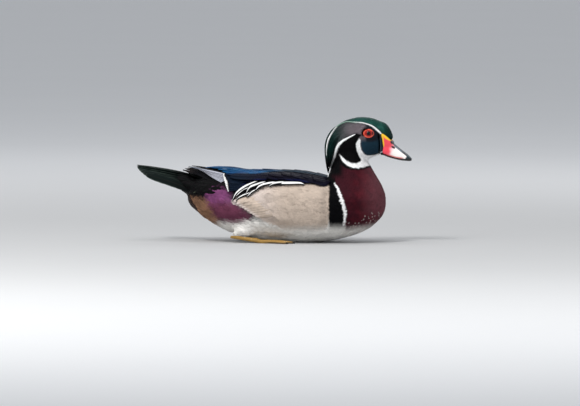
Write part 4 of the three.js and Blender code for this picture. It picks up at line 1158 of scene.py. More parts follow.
def makeBill():
    front = np.linspace(0.25, 1, 40)
    lofts = [loft(crossRings(billStations, np.linspace(0, 1, 70), 64)),
             loft(crossRings(headStations, front, 64))]
    whole = remeshed(grownCopy([], 0, lofts), billPlan["voxel"])
    relax(whole.data, 14)
    points = pointsOf(whole.data)
    x, z = billPlan["nostril"]
    length, height, depth = billPlan["nostrilSize"]
    tiltUp = points[:, 2] - z + 0.4 * (points[:, 0] - x)
    pit = np.exp(-(((points[:, 0] - x) / length) ** 2 + (tiltUp / height) ** 2) ** 1.5)
    rimUp = np.exp(-((np.hypot((points[:, 0] - x) / length, tiltUp / height) - 1.5) / 0.35) ** 2)
    points[:, 1] -= np.sign(points[:, 1]) * (depth * pit - 0.12 * rimUp)
    groove = (np.exp(-((points[:, 2] - 131.5 + 0.72 * (points[:, 0] - 147)) / 1.6) ** 2)
              * ease(146, 150, points[:, 0]))
    points[:, 1] -= np.sign(points[:, 1]) * 0.35 * groove * ease(172, 160, points[:, 0])
    setPoints(whole.data, points)
    # Both run back a little under the face's feathers, where they sink into the head.
    upperOutline = np.vstack([billBack, [[162, 133.4], [200, 131]], (mouthLine[1:] + [0, 0.15])[::-1]])
    lowerOutline = np.vstack([[[140.4, 100], [140.5, 116.8]], mouthLine[1:] - [0, 0.2], [[192, 100]]])
    upper = common(whole, buildMesh("cutUpper", *sidePrism(upperOutline)))
    lower = common(whole, buildMesh("cutLower", *sidePrism(lowerOutline)))
    bpy.data.objects.remove(whole)
    points = pointsOf(lower.data)
    points[:, 1] *= billPlan["lowerNarrow"] * (1 - 0.07 * ease(144, 142, points[:, 0]))
    setPoints(lower.data, points)
    points = pointsOf(upper.data)
    sunk = billPlan["sink"] * ease(0.0, 1.3, -insideOf(points[:, [0, 2]], billSide))
    setPoints(upper.data, points - normalsOf(upper.data) * sunk[:, None])
    shine = billMaterial()
    for piece, name, solids, slot in ((upper, "billUpper", ["bill_upper", "bill_nail"], "bill"),
                                      (lower, "billLower", ["bill_lower"], "bill")):
        places = pointsOf(piece.data)
        dull = ease(0.0, 0.6, -insideOf(places[:, [0, 2]], billSide))
        finishPart(piece, name, billPaint(places, name == "billLower"), {"dull": dull})
        wear(piece, shine, *solids, slot=slot)
        print(name, len(piece.data.polygons), "faces")


makeBill()


# Eyes and lids

eyePlan = {
    "pupil": 2.75,
    "iris": 4.3,
    "cornea": 0.04,  # how far the clear front stands out, as a share of the radius
    "ringAcross": 7.2,  # half length of the bare ring
    "ringUp": 0.79,  # its height against its length
    "wrinkles": 31,
}


def eyeFrame(side):
    centre = eyePlace * [1, side, 1]
    axis = unit(np.array([0.16, side, 0.13]))
    level = unit(np.cross([0, 0, 1.0], axis)) * side
    return centre, axis, level, unit(np.cross(axis, level)) * side


def eyeMaterial():
    recipe = Recipe("eyeGlass", {"Roughness": 0.07, "Coat Weight": 0.4, "Coat Roughness": 0.02,
                                 "Specular IOR Level": 0.05})
    streak = recipe.noise(900.0, 3.0)
    recipe.feed("Base Color", recipe.brighter(recipe.attribute("col", "Color"), 0.7 + streak * 0.6))
    return recipe.material


def makeEye(side, material):
    centre, axis, level, upright = eyeFrame(side)
    polar = np.concatenate([np.linspace(0.02, 1.1, 34), np.linspace(1.2, 3.1, 16)])
    turn = np.linspace(0, 2 * math.pi, 64, endpoint=False)
    radius = eyeRadius * (1 + eyePlan["cornea"] * np.exp(-(polar / 0.6) ** 2))
    rings = (centre + axis * (radius * np.cos(polar))[:, None, None]
             + (level * np.cos(turn)[:, None] + upright * np.sin(turn)[:, None])[None]
             * (radius * np.sin(polar))[:, None, None])
    points, faces = loft(rings)
    out = points - centre
    off = np.linalg.norm(out - (out @ axis)[:, None] * axis, axis=1)
    off = np.where(out @ axis > 0, off, 9)
    angle = np.arctan2(out @ upright, out @ level)
    streaks = 0.5 + 0.5 * np.sin(angle * 23 + 2 * np.sin(angle * 7)) * np.sin(angle * 41 + 1)
    red = blend(paint(96, 6, 8), paint(186, 18, 18), (0.35 + 0.65 * streaks)[:, None])
    colour = blend(paint(12, 1, 2), red, ease(-0.15, 0.25, off - eyePlan["pupil"])[:, None])
    colour = blend(colour, paint(226, 52, 30), (0.35 * ease(0.3, 1.2, off - eyePlan["pupil"]))[:, None])
    colour = blend(colour, paint(24, 4, 6), ease(-0.45, 0.1, off - eyePlan["iris"])[:, None])
    name = "eye_l" if side > 0 else "eye_r"
    wear(buildMesh(name, points, faces, colour), material, "eye_left" if side > 0 else "eye_right",
         slot="eye")


def lidMaterial():
    recipe = Recipe("bareLid", {"Specular IOR Level": 0.5, "Subsurface Weight": 0.15,
                                "Subsurface Scale": 0.0015})
    recipe.shader.inputs["Subsurface Radius"].default_value = (1.0, 0.25, 0.15)
    cloud = recipe.noise(700.0, 4.0)
    recipe.feed("Base Color", recipe.brighter(recipe.attribute("col", "Color"), 0.85 + cloud * 0.3))
    recipe.feed("Roughness", 0.38 + cloud * 0.2)
    return recipe.bump(recipe.noise(1500.0, 4.0), 0.5, 0.00025)


def makeLid(side, material):
    centre, axis, level, upright = eyeFrame(side)
    turn = np.linspace(0, 2 * math.pi, 128, endpoint=False)
    squash = eyePlan["ringUp"] * (1 - 0.03 * np.cos(2 * turn))
    flatWay = level * np.cos(turn)[:, None] + upright * (np.sin(turn) * squash)[:, None]
    reach = np.linalg.norm(flatWay, axis=1)
    outer = centre + flatWay * (eyePlan["ringAcross"] + 0.7)
    face, _ = surface.cast(outer + axis * 14, np.broadcast_to(-axis, outer.shape))
    faceHeight = np.clip((face - centre) @ axis, 2.0, 6.5)
    # Around the ring's section: share from its outer edge to the opening, and how high it stands.
    section = [(1.03, -1.2, 0), (1.0, 0.15, 0), (0.93, 0.75, 0.6), (0.84, 0.98, 1), (0.78, 0.86, 0.5),
               (0.71, 0.95, 1), (0.645, 0.62, 0.7), (0.603, 0.3, 0.2), (0.6, -0.1, 0), (0.66, -1.6, 0),
               (0.9, -2.4, 0)]
    rings = []
    for share, stand, fold in section:
        radius = eyePlan["ringAcross"] * share
        ball = np.sqrt(np.maximum(eyeRadius**2 - (radius * reach) ** 2, 1.0))
        base = blend(ball, faceHeight, ease(0.62, 0.95, share * np.ones(len(turn))))
        crease = 0.09 * fold * np.sin(turn * eyePlan["wrinkles"] + 1.5 * np.sin(turn * 5))
        rings.append(centre + flatWay * radius + axis * (base + stand + crease)[:, None])
    rings = np.array(rings + [rings[0]])
    points, faces = loft(rings[:-1].transpose(0, 1, 2), closed=False)
    count = len(turn)
    k = np.arange(count)
    last = (len(section) - 1) * count
    seam = np.stack([last + k, last + (k + 1) % count, (k + 1) % count, k], axis=1)
    shares = np.repeat([s[0] for s in section], count)
    bright = blend(paint(140, 14, 14), paint(222, 80, 54), ease(0.66, 0.8, shares)[:, None])
    colour = blend(bright, paint(200, 44, 32), ease(0.93, 1.0, shares)[:, None])
    colour = blend(colour, paint(26, 6, 8), ease(0.64, 0.603, shares)[:, None])
    name = "lid_l" if side > 0 else "lid_r"
    piece = buildMesh(name, points, faces + [seam], colour)
    wear(piece, material, "lid_left" if side > 0 else "lid_right", slot="lid")


glass, bare = eyeMaterial(), lidMaterial()
for side in (1, -1):
    makeEye(side, glass)
    makeLid(side, bare)
print("bill, eyes and lids made")


# Large feathers, each a thin closed vane with a shaft, laid out for the left side and mirrored

vanePlan = {
    "stations": 15,
    "thick": 0.3,
    "shaft": 0.2,  # how high the shaft stands on the vane
    "ragged": 0.035,  # how uneven the edges are
}
vaneAcross = np.array([-1.0, -0.74, -0.38, -0.06, 0.0, 0.06, 0.38, 0.74, 1.0])
fineAcross = np.concatenate([np.linspace(-1, -0.12, 8), [-0.05, 0, 0.05], np.linspace(0.12, 1, 8)])


def featherOutline(s, rootShare, taperFrom, power):
    # Half width along a feather: a narrow root, a swelling and a rounded or pointed tip.
    swell = rootShare + (1 - rootShare) * np.sin(np.clip(s * 2.0, 0, 1) * math.pi / 2)
    late = np.clip((s - taperFrom) / (1 - taperFrom), 0, 1)
    return swell * (1 - late**power) ** (1 / power)


class Plumage:
    # Collects vanes and writes them as one piece.
    def __init__(self, name, seed):
        self.name = name
        self.turn = np.random.default_rng(seed)
        self.vanes = []

    def add(self, path, up, half, paintVane, root=0.5, taper=0.55, power=2.0, camber=0.16, roll=0.0,
            thick=None, mirror=True, stations=None, across=vaneAcross):
        # path and up have a row for each of some points from root to tip. paintVane gives colour and sheen.
        count = stations or vanePlan["stations"]
        t = np.linspace(0, 1, count)
        s = 1 - (1 - t) ** 1.35
        line = evenLine(np.asarray(path, float), 60)
        line = np.stack([np.interp(s, np.linspace(0, 1, 60), line[:, k]) for k in range(3)], axis=1)
        up = along(np.asarray(up, float), s)
        ahead = unit(np.gradient(line, axis=0))
        side = unit(np.cross(up, ahead))
        turned = math.radians(roll)
        up = unit(np.cross(ahead, side))
        side, up = (side * math.cos(turned) + up * math.sin(turned),
                    up * math.cos(turned) - side * math.sin(turned))
        u = across
        width = half * np.maximum(featherOutline(s, root, taper, power), 0.05)
        edge = 1 - vanePlan["ragged"] * np.abs(self.turn.normal(0, 1, (count, len(u)))) * (np.abs(u) > 0.9)
        reach = u[None, :] * edge
        rise = (camber * half * (1 - u[None, :] ** 2) + vanePlan["shaft"] * (np.abs(u) < 0.01)
                * (1 - 0.8 * s[:, None]))
        # The barbs sweep towards the tip, so the edges run ahead of the shaft.
        sweep = -0.12 * half * (np.abs(u)[None, :] ** 2) * np.sin(math.pi * s)[:, None]
        top = (line[:, None] + side[:, None] * (reach * width[:, None])[..., None] + up[:, None]
               * rise[..., None]
               + ahead[:, None] * sweep[..., None])
        deep = (thick or vanePlan["thick"]) * (1 - 0.5 * s)[:, None, None]
        bottom = top - up[:, None] * deep
        sGrid, uGrid = np.broadcast_arrays(s[:, None], u[None, :])
        colour, sheen = paintVane(sGrid, uGrid, top)
        self.vanes.append((top, bottom, colour, sheen, sGrid, uGrid, self.turn.random(), mirror))

    def build(self, material, *nodes, slot=None):
        points, faces, colours, sheens, quills, places = [], [], [], [], [], []
        total = sum(2 if vane[-1] else 1 for vane in self.vanes)
        columns = math.ceil(math.sqrt(total))
        cell, start = 0, 0
        for top, bottom, colour, sheen, s, u, chance, mirror in self.vanes:
            rows, wide = s.shape
            i, j = np.meshgrid(np.arange(rows - 1), np.arange(wide - 1), indexing="ij")
            a = (i * wide + j).ravel()
            size = rows * wide
            upper = np.stack([a, a + wide, a + wide + 1, a + 1], axis=1)
            lower = np.stack([a, a + 1, a + wide + 1, a + wide], axis=1) + size
            rim = np.concatenate([np.arange(wide), np.arange(1, rows) * wide + wide - 1,
                                  (rows - 1) * wide + np.arange(wide - 2, -1, -1),
                                  np.arange(rows - 2, 0, -1) * wide])
            after = np.roll(rim, -1)
            edge = np.stack([rim, after, after + size, rim + size], axis=1)
            shape = np.concatenate([upper, lower, edge])
            flat = np.stack([u.ravel(), s.ravel()], axis=1)
            for flip in ((1, -1) if mirror else (1,)):
                both = np.concatenate([top.reshape(-1, 3), bottom.reshape(-1, 3)])
                points.append(both * [1, flip, 1])
                faces.append((shape if flip > 0 else shape[:, ::-1]) + start)
                colours.append(np.tile(colour.reshape(-1, 3), (2, 1)))
                sheens.append(np.tile(np.broadcast_to(sheen, s.shape).ravel(), 2))
                quill = np.stack([s.ravel(), u.ravel(), np.full(s.size, (chance + 0.37 * (flip < 0)) % 1)],
                                 axis=1)
                quills.append(np.tile(quill, (2, 1)))
                corner = np.array([cell % columns, cell // columns])
                front = (corner + [0.26, 0.04] + flat * [0.2, 0.92]) / columns
                rear = (corner + [0.74, 0.04] + flat * [0.2, 0.92]) / columns
                places += [front, rear]
                start += 2 * size
                cell += 1
        piece = buildMesh(self.name, np.vstack(points), [np.concatenate(faces)], np.vstack(colours),
                          {"sheen": np.concatenate(sheens), "quill": np.vstack(quills)}, np.vstack(places))
        wear(piece, material, *nodes, slot=slot)
        print(self.name, total, "vanes,", sum(len(f) for f in faces) * 2, "triangles")
        return piece


def torsoPath(start, end, heights, bow=0.0, power=1.1, steps=7):
    # A line over the torso between two places given as x and degrees round it.
    s = np.linspace(0, 1, steps)
    degrees = blend(start[1], end[1], s) + bow * np.sin(math.pi * s)
    return overTorso(blend(start[0], end[0], s), degrees, blend(heights[0], heights[1], s**power))


def sightLines(flat):
    # The lines of sight through points of the picture's plane: starts clear of the bird, and directions.
    rays = raysTo(flat)
    return lookFrom + rays * (look["distance"] - look["clear"]), rays


def onSide(flat):
    # Where points of the picture's plane fall on the skin, carried over to the bird's left side.
    starts, rays = sightLines(flat)
    places, normals = surface.cast(starts, rays)
    return places * [1, -1, 1], normals * [1, -1, 1]


def fromSide(flat, out):
    # Places on the left side that show at these points of the picture's plane, at a distance out from the
    # middle.
    rays = raysTo(flat)
    reach = (-np.asarray(out, float) - lookFrom[1]) / rays[:, 1]
    return (lookFrom + rays * reach[:, None]) * [1, -1, 1]


def strideOver(place, way, length, steps=6, stand=(0.4, 1.6)):
    # A line of that length over the skin from a place, with the skin's normals.
    place, way = np.array([place], float), np.array([way], float)
    place, normal = surface.nearest(place)
    line, ups = [], []
    for share in np.linspace(0, 1, steps):
        line.append((place + normal * blend(*stand, share))[0])
        ups.append(normal[0])
        way = unit(way - normal * (way * normal).sum())
        place, normal = surface.nearest(place + way * length / (steps - 1) + normal * 0.3)
    return np.array(line), np.array(ups)


def plain(base, tip=None, edge=None, sheen=0.5, tipFrom=0.85):
    # A way to colour a vane: its base, its tip and its edges.
    tip = base if tip is None else tip
    edge = tip if edge is None else edge

    def paintVane(s, u, points):
        colour = blend(base, tip, ease(tipFrom - 0.12, tipFrom + 0.12, s)[..., None])
        colour = blend(colour, edge, (ease(0.82, 1.0, np.abs(u)) * ease(0.2, 0.5, s))[..., None])
        return colour * (1 + 0.08 * smoothNoise(points.reshape(-1, 3), 7,
                                                41).reshape(s.shape)[..., None]), sheen
    return paintVane


# Along the top of the wing, sheenLine is a painted reflection: a pale line of light.
wingColours = {
    "navy": paint(10, 10, 27), "navyRear": paint(10, 24, 40), "violet": paint(15, 11, 25),
    "bronze": paint(27, 29, 33),
    "blue": paint(8, 66, 116), "sky": paint(18, 92, 138), "sheenLine": paint(48, 74, 92),
    "royal": paint(6, 14, 58), "black": paint(8, 8, 12), "brown": paint(40, 32, 30),
    "silver": paint(186, 188, 200), "greySilver": paint(116, 118, 132), "white": paint(246, 246, 244),
}
# The wing's top line and the upper edge of the barred plumes under it, in the picture's plane.
wingTop = np.array([[-112, 101.2], [-88, 97.4], [-65, 99.8], [-43, 98], [-24, 95.8], [-6, 96.9], [17, 96.6],
                    [39, 94.2], [57, 91.2], [70, 87.7], [78, 84]])
plumeTop = np.array([[-56, 56], [-48, 68], [-38, 76.2], [-26, 81.2], [-10, 80.8], [10, 81], [33, 80.6],
                     [41, 78.5], [70, 76.5]])
blueDepth = np.array([[-95, 2], [-80, 7], [-66, 10], [-50, 7.5], [-36, 6.4], [-20, 5], [0, 3.6], [30, 2.8],
                      [70, 2.2]])


def wingPaint(dark=0.0, tone=0.0, shine=1.0):
    # The folded wing: navy, blue along its top, a pale painted sheen (painted reflection) along the top
    # farther forward and deep blue over the plumes.
    w = wingColours

    def paintVane(s, u, points):
        places = points.reshape(-1, 3)
        flat = (sideView(places) + 0.5 * np.stack([smoothNoise(places, 5, 43), smoothNoise(places, 4, 44)],
                                                  axis=1))
        y = np.abs(places[:, 1])
        x, z = flat.T
        cloud = smoothNoise(places, 11, 45)
        colour = blend(w["navy"], w["violet"], (0.5 + 0.5 * cloud)[:, None] * ease(-45, 10, x)[:, None])
        colour = blend(colour, w["navyRear"], (ease(-18, -50, x) * ease(96, 84, z))[:, None] * 0.9)
        above = z - np.interp(x, *plumeTop.T)
        deep = ease(3.6, 1.2, above) * ease(-5, -2, above) * ease(-52, -34, x) * ease(50, 38, x)
        colour = blend(colour, w["royal"], deep[:, None])
        under = np.interp(x, *wingTop.T) - z
        top = ease(1.15, 0.75, under / np.interp(x, *blueDepth.T))
        bright = blend(w["blue"], w["sky"], np.clip(0.45 + 0.6 * cloud, 0, 1)[:, None])
        front = ease(-16, 22, x)
        middle = ease(10, 3, y) * ease(-74, -56, x)
        # Farther forward the blue gives way to sheenLine, a painted reflection along the top of the back.
        line = blend(bright, w["sheenLine"], front[:, None])
        top = top * (1 - 0.7 * middle) * ease(-104, -92, x) * (1 - 0.35 * front) * shine
        colour = blend(colour, w["bronze"], (0.7 * middle)[:, None])
        colour = blend(colour, line, np.clip(top, 0, 1)[:, None]).reshape(*s.shape, 3)
        edge = ease(0.7, 1.0, np.abs(u)) * ease(0.15, 0.5, s)
        colour = blend(colour, w["black"], (0.45 * edge + dark * np.ones(s.shape))[..., None])
        return colour * (1 + tone), 0.55 + 0.25 * top.reshape(s.shape)
    return paintVane


# Scapulars, coverts and flight feathers

shoulderPlan = {
    "tiers": 9,
    "firstRoot": 74.0,
    "tierStep": 11.0,
    "length": (20.0, 42.0),  # first and last tier
    "half": (5.4, 8.0),
    "rows": (56.0, 87.0),  # degrees round the torso
    "perTier": 5,
}


def makeScapulars():
    plan = shoulderPlan
    back = Plumage("scapularVanes", 21)
    for tier in range(plan["tiers"]):
        share = tier / (plan["tiers"] - 1)
        length = blend(*plan["length"], share)
        half = blend(*plan["half"], share)
        for k in range(plan["perTier"]):
            place = (k + 0.5 * (tier % 2)) / (plan["perTier"] - 0.5)
            degrees = blend(*plan["rows"], place)
            turn = back.turn.normal(0, 1, 3)
            start = (plan["firstRoot"] - plan["tierStep"] * tier - 3 * place + turn[0], degrees)
            end = (start[0] - length + turn[1], degrees + 1.0 + 2 * share + turn[2] * 0.5)
            heights = (blend(0.7, 2.2, share), blend(2.4, 5.4, share) + 0.2 * turn[1])
            path, up = torsoPath(start, end, heights)
            back.add(path, up, half, wingPaint(tone=0.1 * turn[2]), taper=0.5, power=2.1, roll=-8, camber=0.1)
    return back.build(vaneMaterial, "scapulars_left", "scapulars_right", slot="back")


wingPlan = {
    "covertTiers": 12,
    "covertRows": 4,
    "secondaries": 11,
    "secondaryHalf": 5.4,
    "whiteTip": 3.5,
    "primaries": 7,
    "primaryHalf": 4.2,
    "tertialHalf": 7.6,
}
# Lower edge of the coverts as x and degrees round the torso.
covertFoot = np.array([[-60, 24], [-50, 33], [-40, 42], [-25, 49], [0, 50], [40, 50], [80, 46]])
# The pale band of the flight feathers, its lower and its upper edge in the picture's plane and how far out.
outerEdge = fromSide([[-48, 69], [-57, 73.4], [-66.9, 78.6], [-79.3, 85.8], [-89.3, 91.8], [-101, 96.9],
                      [-112, 99.2]],
                     [43, 40.5, 36.5, 28, 21, 15.5, 12.8])
innerEdge = fromSide([[-46, 88.6], [-56, 89.4], [-67, 90.4], [-80, 92.8], [-91, 94.8], [-102, 97.2],
                      [-111.4, 98.8]],
                     [31, 29, 26, 21.5, 17.5, 14.5, 12.4])
tertials = [(47, 47, -52, 4.6), (53, 55, -57, 5.4), (60, 63, -63, 6.4), (67, 70.5, -70, 7.6),
            (74, 77, -79, 8.8), (81, 83, -88, 9.6), (87, 88.5, -74, 8.4)]


def secondaryPaint(path, white):
    w = wingColours
    length = np.linalg.norm(path[-1] - path[0])
    tipped = wingPaint(shine=0.4)

    def paintVane(s, u, points):
        colour, sheen = tipped(s, u, points)
        fromTip = (1 - s) * length
        colour = blend(colour, w["black"], ease(white + 2.3, white + 1.2, fromTip)[..., None])
        colour = blend(colour, w["white"], ease(white + 0.35, white - 0.25, fromTip)[..., None])
        colour = blend(colour, w["black"], ease(0.75, 0.3, fromTip)[..., None] * 0.8)
        return colour, sheen * ease(white, white + 1.2, fromTip)
    return paintVane


def primaryPaint(share):
    w = wingColours

    def paintVane(s, u, points):
        # The web away from the back is pale with a dark rim, and the other is dark.
        pale = ease(-0.08, -0.22, u) * ease(-0.98, -0.91, u) * ease(0.08, 0.2, s) * ease(1.0, 0.97, s)
        fine = 0.5 + 0.5 * np.sin(u * 46 + 3 * share)
        web = blend(w["silver"], w["greySilver"], (0.25 * fine + 0.35 * ease(0.5, 0.2, s))[..., None])
        web = blend(web, w["sheenLine"], (0.6 * ease(0.62, 0.95, s))[..., None])
        return blend(np.broadcast_to(w["black"], web.shape), web, pale[..., None]), 0.2 + 0.3 * (1 - pale)
    return paintVane


def makeWing():
    plan = wingPlan
    wing = Plumage("wingVanes", 22)
    # Primaries: dark ones under all, then the stack with pale outer webs, the outermost along the lower edge.
    under = fromSide([[-60, 72.6], [-72, 78], [-84, 84.6], [-96, 90.2], [-108, 93.4], [-118.5, 94.8]],
                     [38, 31, 24, 18, 14, 12])
    outward = np.array([[0.05, 0.86, 0.5], [0.1, 0.8, 0.6], [0.16, 0.72, 0.66], [0.15, 0.6, 0.76],
                        [0.1, 0.5, 0.85]])
    dark = plain(wingColours["black"], wingColours["brown"], wingColours["black"], sheen=0.2)
    wing.add(under, outward, 4.6, dark, root=0.7, taper=0.5, power=1.5, camber=0.08, roll=-4, stations=18)
    wing.add(under + [2, -2, 2.4], outward, 4.6, dark, root=0.7, taper=0.5, power=1.5, camber=0.08, roll=-4,
             stations=18)
    for k in range(plan["primaries"]):
        share = k / (plan["primaries"] - 1)
        path = evenLine(blend(outerEdge, innerEdge, share), 40)[: 40 - int(3 * abs(share - 0.35))]
        path = path + [0, 0.12 * k, 0.12 * k]
        path[:, 2] -= 4 * share * np.linspace(1, 0, len(path)) ** 3  # their roots lie under the long feathers
        up = unit(outward + [0, 0, 0.5 * share])
        # The path is the visible outer edge, so the vane lies mostly on its inner side.
        side = unit(np.cross(along(up, np.linspace(0, 1, len(path))), unit(np.gradient(path, axis=0))))
        path = path + side * (plan["primaryHalf"] * 0.84 * np.linspace(1, 0.35, len(path)))[:, None]
        wing.add(path[::3], up, plan["primaryHalf"], primaryPaint(share), root=0.8, taper=0.45, power=1.6,
                 camber=0.05, roll=-5, stations=20, across=fineAcross)
    # Secondaries, whose white tips make one line down the wing.
    for k in range(plan["secondaries"]):
        share = k / (plan["secondaries"] - 1)
        degrees = blend(23, 54, share)
        tip = (np.interp(degrees, [15, 30, 45, 66], [-51, -55.5, -59.5, -64.5]), degrees)
        path, up = torsoPath((tip[0] + 26, degrees + 5), tip, (0.1 + share, 1.2 + 3.9 * share), bow=1.0)
        tipPaint = secondaryPaint(path, plan["whiteTip"] * (0.5 + 0.5 * math.sin(math.pi * share)))
        wing.add(path, up, plan["secondaryHalf"], tipPaint, root=0.75, taper=0.86, power=3.4, roll=-7,
                 camber=0.1, stations=24)
    # Coverts between the flank and the scapulars.
    for tier in range(plan["covertTiers"]):
        share = tier / (plan["covertTiers"] - 1)
        x = 78 - 10.0 * tier
        foot = np.interp(x - 16, *covertFoot.T)
        for k in range(plan["covertRows"]):
            turn = wing.turn.normal(0, 1, 3)
            degrees = blend(foot, 62, (k + 0.5 * (tier % 2)) / plan["covertRows"])
            path, up = torsoPath((x + turn[0], degrees + 1), (x - 18 - 5 * share, degrees - 0.5),
                                 (0.5 + 0.6 * share, 1.5 + 1.4 * share + 0.5 * k / 3))
            wing.add(path, up, 5.4, wingPaint(tone=0.08 * turn[2]), roll=-6, taper=0.5, camber=0.12)
    # Tertials, the long feathers that close the wing over the back. The upper ones shine blue.
    for k, (rootDegrees, tipDegrees, tipX, height) in enumerate(tertials):
        path, up = torsoPath((-2 - 3 * k, rootDegrees), (tipX, tipDegrees), (2.6, height), power=0.9)
        wing.add(path, up, plan["tertialHalf"] - 0.15 * k, wingPaint(), root=0.6, taper=0.55, power=1.9,
                 roll=-9, camber=0.1, stations=20)
    return wing.build(vaneMaterial, "wing_left", "wing_right", slot="back")


makeScapulars()
makeWing()


# Flank plumes: black with a white band, over the flank's upper and rear edge

flankPlan = {
    "half": 3.0,
    "blackBelow": 0.2,  # how far the white band lies above a plume's middle, as a share of its half width
    "softTips": 9,
}
# Each white band in the picture's plane from front to tip, its half width, and how high it stands over the
# skin.
flankBands = [
    ([[-29.5, 66.6], [-37.6, 63.7], [-43.1, 61.2], [-47.8, 57.8], [-49.9, 54]], 0.7, 3.9),
    ([[-22, 71], [-25.4, 68.8], [-29.5, 66.3], [-32.9, 62.9], [-36.3, 59.3]], 0.75, 4.0),
    ([[-30, 74], [-33.9, 72.5], [-39.7, 70.2], [-45.1, 66.3], [-49.5, 62], [-52.6, 58.4], [-54.4, 54.8]],
     1.05, 4.1),
    ([[-21, 81.2], [-26.1, 79.7], [-31.5, 77.3], [-37.6, 74.4], [-43.7, 70.3], [-48.5, 66.3], [-51.9, 61.5],
      [-53.9, 56.7], [-55, 54]], 1.3, 4.5),
    ([[-11, 80.2], [-16.5, 79.0], [-22, 77.1], [-27.4, 75.2], [-31.5, 73.1], [-33.9, 70], [-35.6, 66.9],
      [-37.3, 63.9]], 1.45, 4.6),
    ([[2, 79.9], [-3.6, 79], [-9.7, 77.7], [-15.2, 76.5], [-19.3, 74.5], [-22, 72], [-24, 69.3],
      [-26.1, 68]], 1.6, 4.5),
    ([[14, 80.0], [7.2, 79.3], [1.1, 78.4], [-2.9, 76.8], [-7.7, 73.7]], 1.5, 4.4),
    ([[39.2, 76.5], [36.5, 78], [31.7, 78.7], [21.5, 78.6], [11.3, 78.4], [4.5, 77.7], [-2.3, 76.1],
      [-6, 74.4]], 2.05, 4.2),
]


def barredPaint(half, band):
    w = wingColours
    shift = flankPlan["blackBelow"]

    def paintVane(s, u, points):
        reach = band / half * (1 - 0.75 * ease(0.55, 1.0, s)) * ease(-0.02, 0.12, s)
        off = np.abs(u - shift * (1 - 0.5 * s))
        white = ease(reach + 0.07, reach - 0.07, off)
        base = blend(w["black"], w["royal"], (ease(0.35, 0.95, u) * ease(0.5, 0.1, s) * 0.8)[..., None])
        return blend(base, w["white"], white[..., None]), 0.2 * (1 - white)
    return paintVane


def makeFlankPlumes():
    plan = flankPlan
    plumes = Plumage("flankPlumes", 23)
    for shaft, band, stand in flankBands:
        half = plan["half"] * (0.6 + 0.2 * band)
        line = evenLine(np.array(shaft, float), 11)
        slope = unit(np.gradient(line, axis=0))
        drop = np.stack([-slope[:, 1], slope[:, 0]], axis=1) * (plan["blackBelow"] * half)
        wanted = line + drop * np.linspace(1, 0.5, 11)[:, None]
        height = stand * np.interp(np.linspace(0, 1, 11), [0, 0.25, 1], [0.6, 1.0, 0.85])[:, None]
        # Standing off the skin moves a plume in the side view, so its foot is moved back by as much.
        aim = wanted
        for _ in range(3):
            places, normals = onSide(aim)
            aim = aim + 0.8 * (wanted - sideView(places + normals * height))
        plumes.add(places + normals * height, normals, half, barredPaint(half, band), root=0.6, taper=0.5,
                   power=1.7, camber=0.16, roll=-5, stations=26, across=fineAcross)
    # The buff feathers' own rear tips, long and soft, hang under the barred ones.
    for k in range(plan["softTips"]):
        share = k / (plan["softTips"] - 1)
        tip = np.array([blend(-51.5, -24, share), blend(54, 36, share)])
        line = evenLine(np.array([tip + [26, 6 - 4 * share], tip + [13, 4.5 - 3 * share], tip]), 6)
        places, normals = onSide(line)
        stand = blend(0.1, 2.6, np.linspace(0, 1, 6))[:, None]
        plumes.add(places + normals * stand, normals, 4.2,
                   plain(palette["buff"], palette["buffPale"], palette["buff"], sheen=0.0), roll=-6,
                   taper=0.4, camber=0.18)
    return plumes.build(vaneMaterial, "flank_left", "flank_right", slot="flank")


# Tail

tailPlan = {
    "pairs": 8,
    "half": 6.6,
    "rise": 1.6,  # how far the middle feathers bow upward
}


def tailPaint(inner, outer):
    # inner and outer say how pale a feather's two edges are.
    dark, green, pale = paint(6, 7, 8), paint(9, 19, 18), paint(112, 128, 118)

    def paintVane(s, u, points):
        colour = blend(dark, green, (0.3 + 0.7 * ease(0.15, 0.6, s))[..., None])
        rim = (ease(0.8, 0.97, u) * inner + ease(-0.8, -0.97, u) * outer) * ease(0.2, 0.5, s)
        rim = np.clip(rim + 0.6 * ease(0.965, 0.995, s), 0, 1) * (0.7 + 0.3 * np.sin(s * 37))
        colour = blend(colour, pale, (0.8 * rim)[..., None])
        return blend(colour, wingColours["brown"], (0.5 * ease(0.08, 0.0, np.abs(u)))[..., None]), 0.45
    return paintVane


def makeTail():
    # Pairs from the middle outward, each lower than the last and leaning more, like a ridged roof.
    plan = tailPlan
    fan = Plumage("tailFan", 24)
    for k in range(plan["pairs"]):
        g = k * 6 / (plan["pairs"] - 1)
        root = np.array([-104, 1.4 + 2.2 * g, 84.4 - 2.0 * g - 0.17 * g * g])
        tip = np.array([-181.2 + 0.42 * g * g, 1.5 + 3.7 * g, 98.2 - 1.15 * g - 0.12 * g * g])
        s = np.linspace(0, 1, 8)[:, None]
        path = (root + (tip - root) * s + [0, 0, 1]
                * (plan["rise"] * (1 - g / 7) * np.sin(math.pi * s**0.8) + 0.6 * g * s * (1 - s)))
        up = blend(np.array([[0, 0.12 + 0.24 * g, 1.0]]), np.array([[0, 0.06 + 0.13 * g, 1.0]]), s)
        edges = tailPaint(1.0 if k == 0 else 0.2, 1.0 if k > plan["pairs"] - 3 else 0.4)
        fan.add(path, unit(up), plan["half"], edges, root=0.7, taper=0.74, power=2.0, camber=0.03,
                stations=22, across=fineAcross)
    return fan.build(vaneMaterial, "tail", slot="tail")


covertPlan = {
    "overTiers": 8,
    "overRows": 6,
    "underTiers": 6,
    "underRows": 5,
    "rumpPlumes": 26,
    "longCoverts": 6,
}


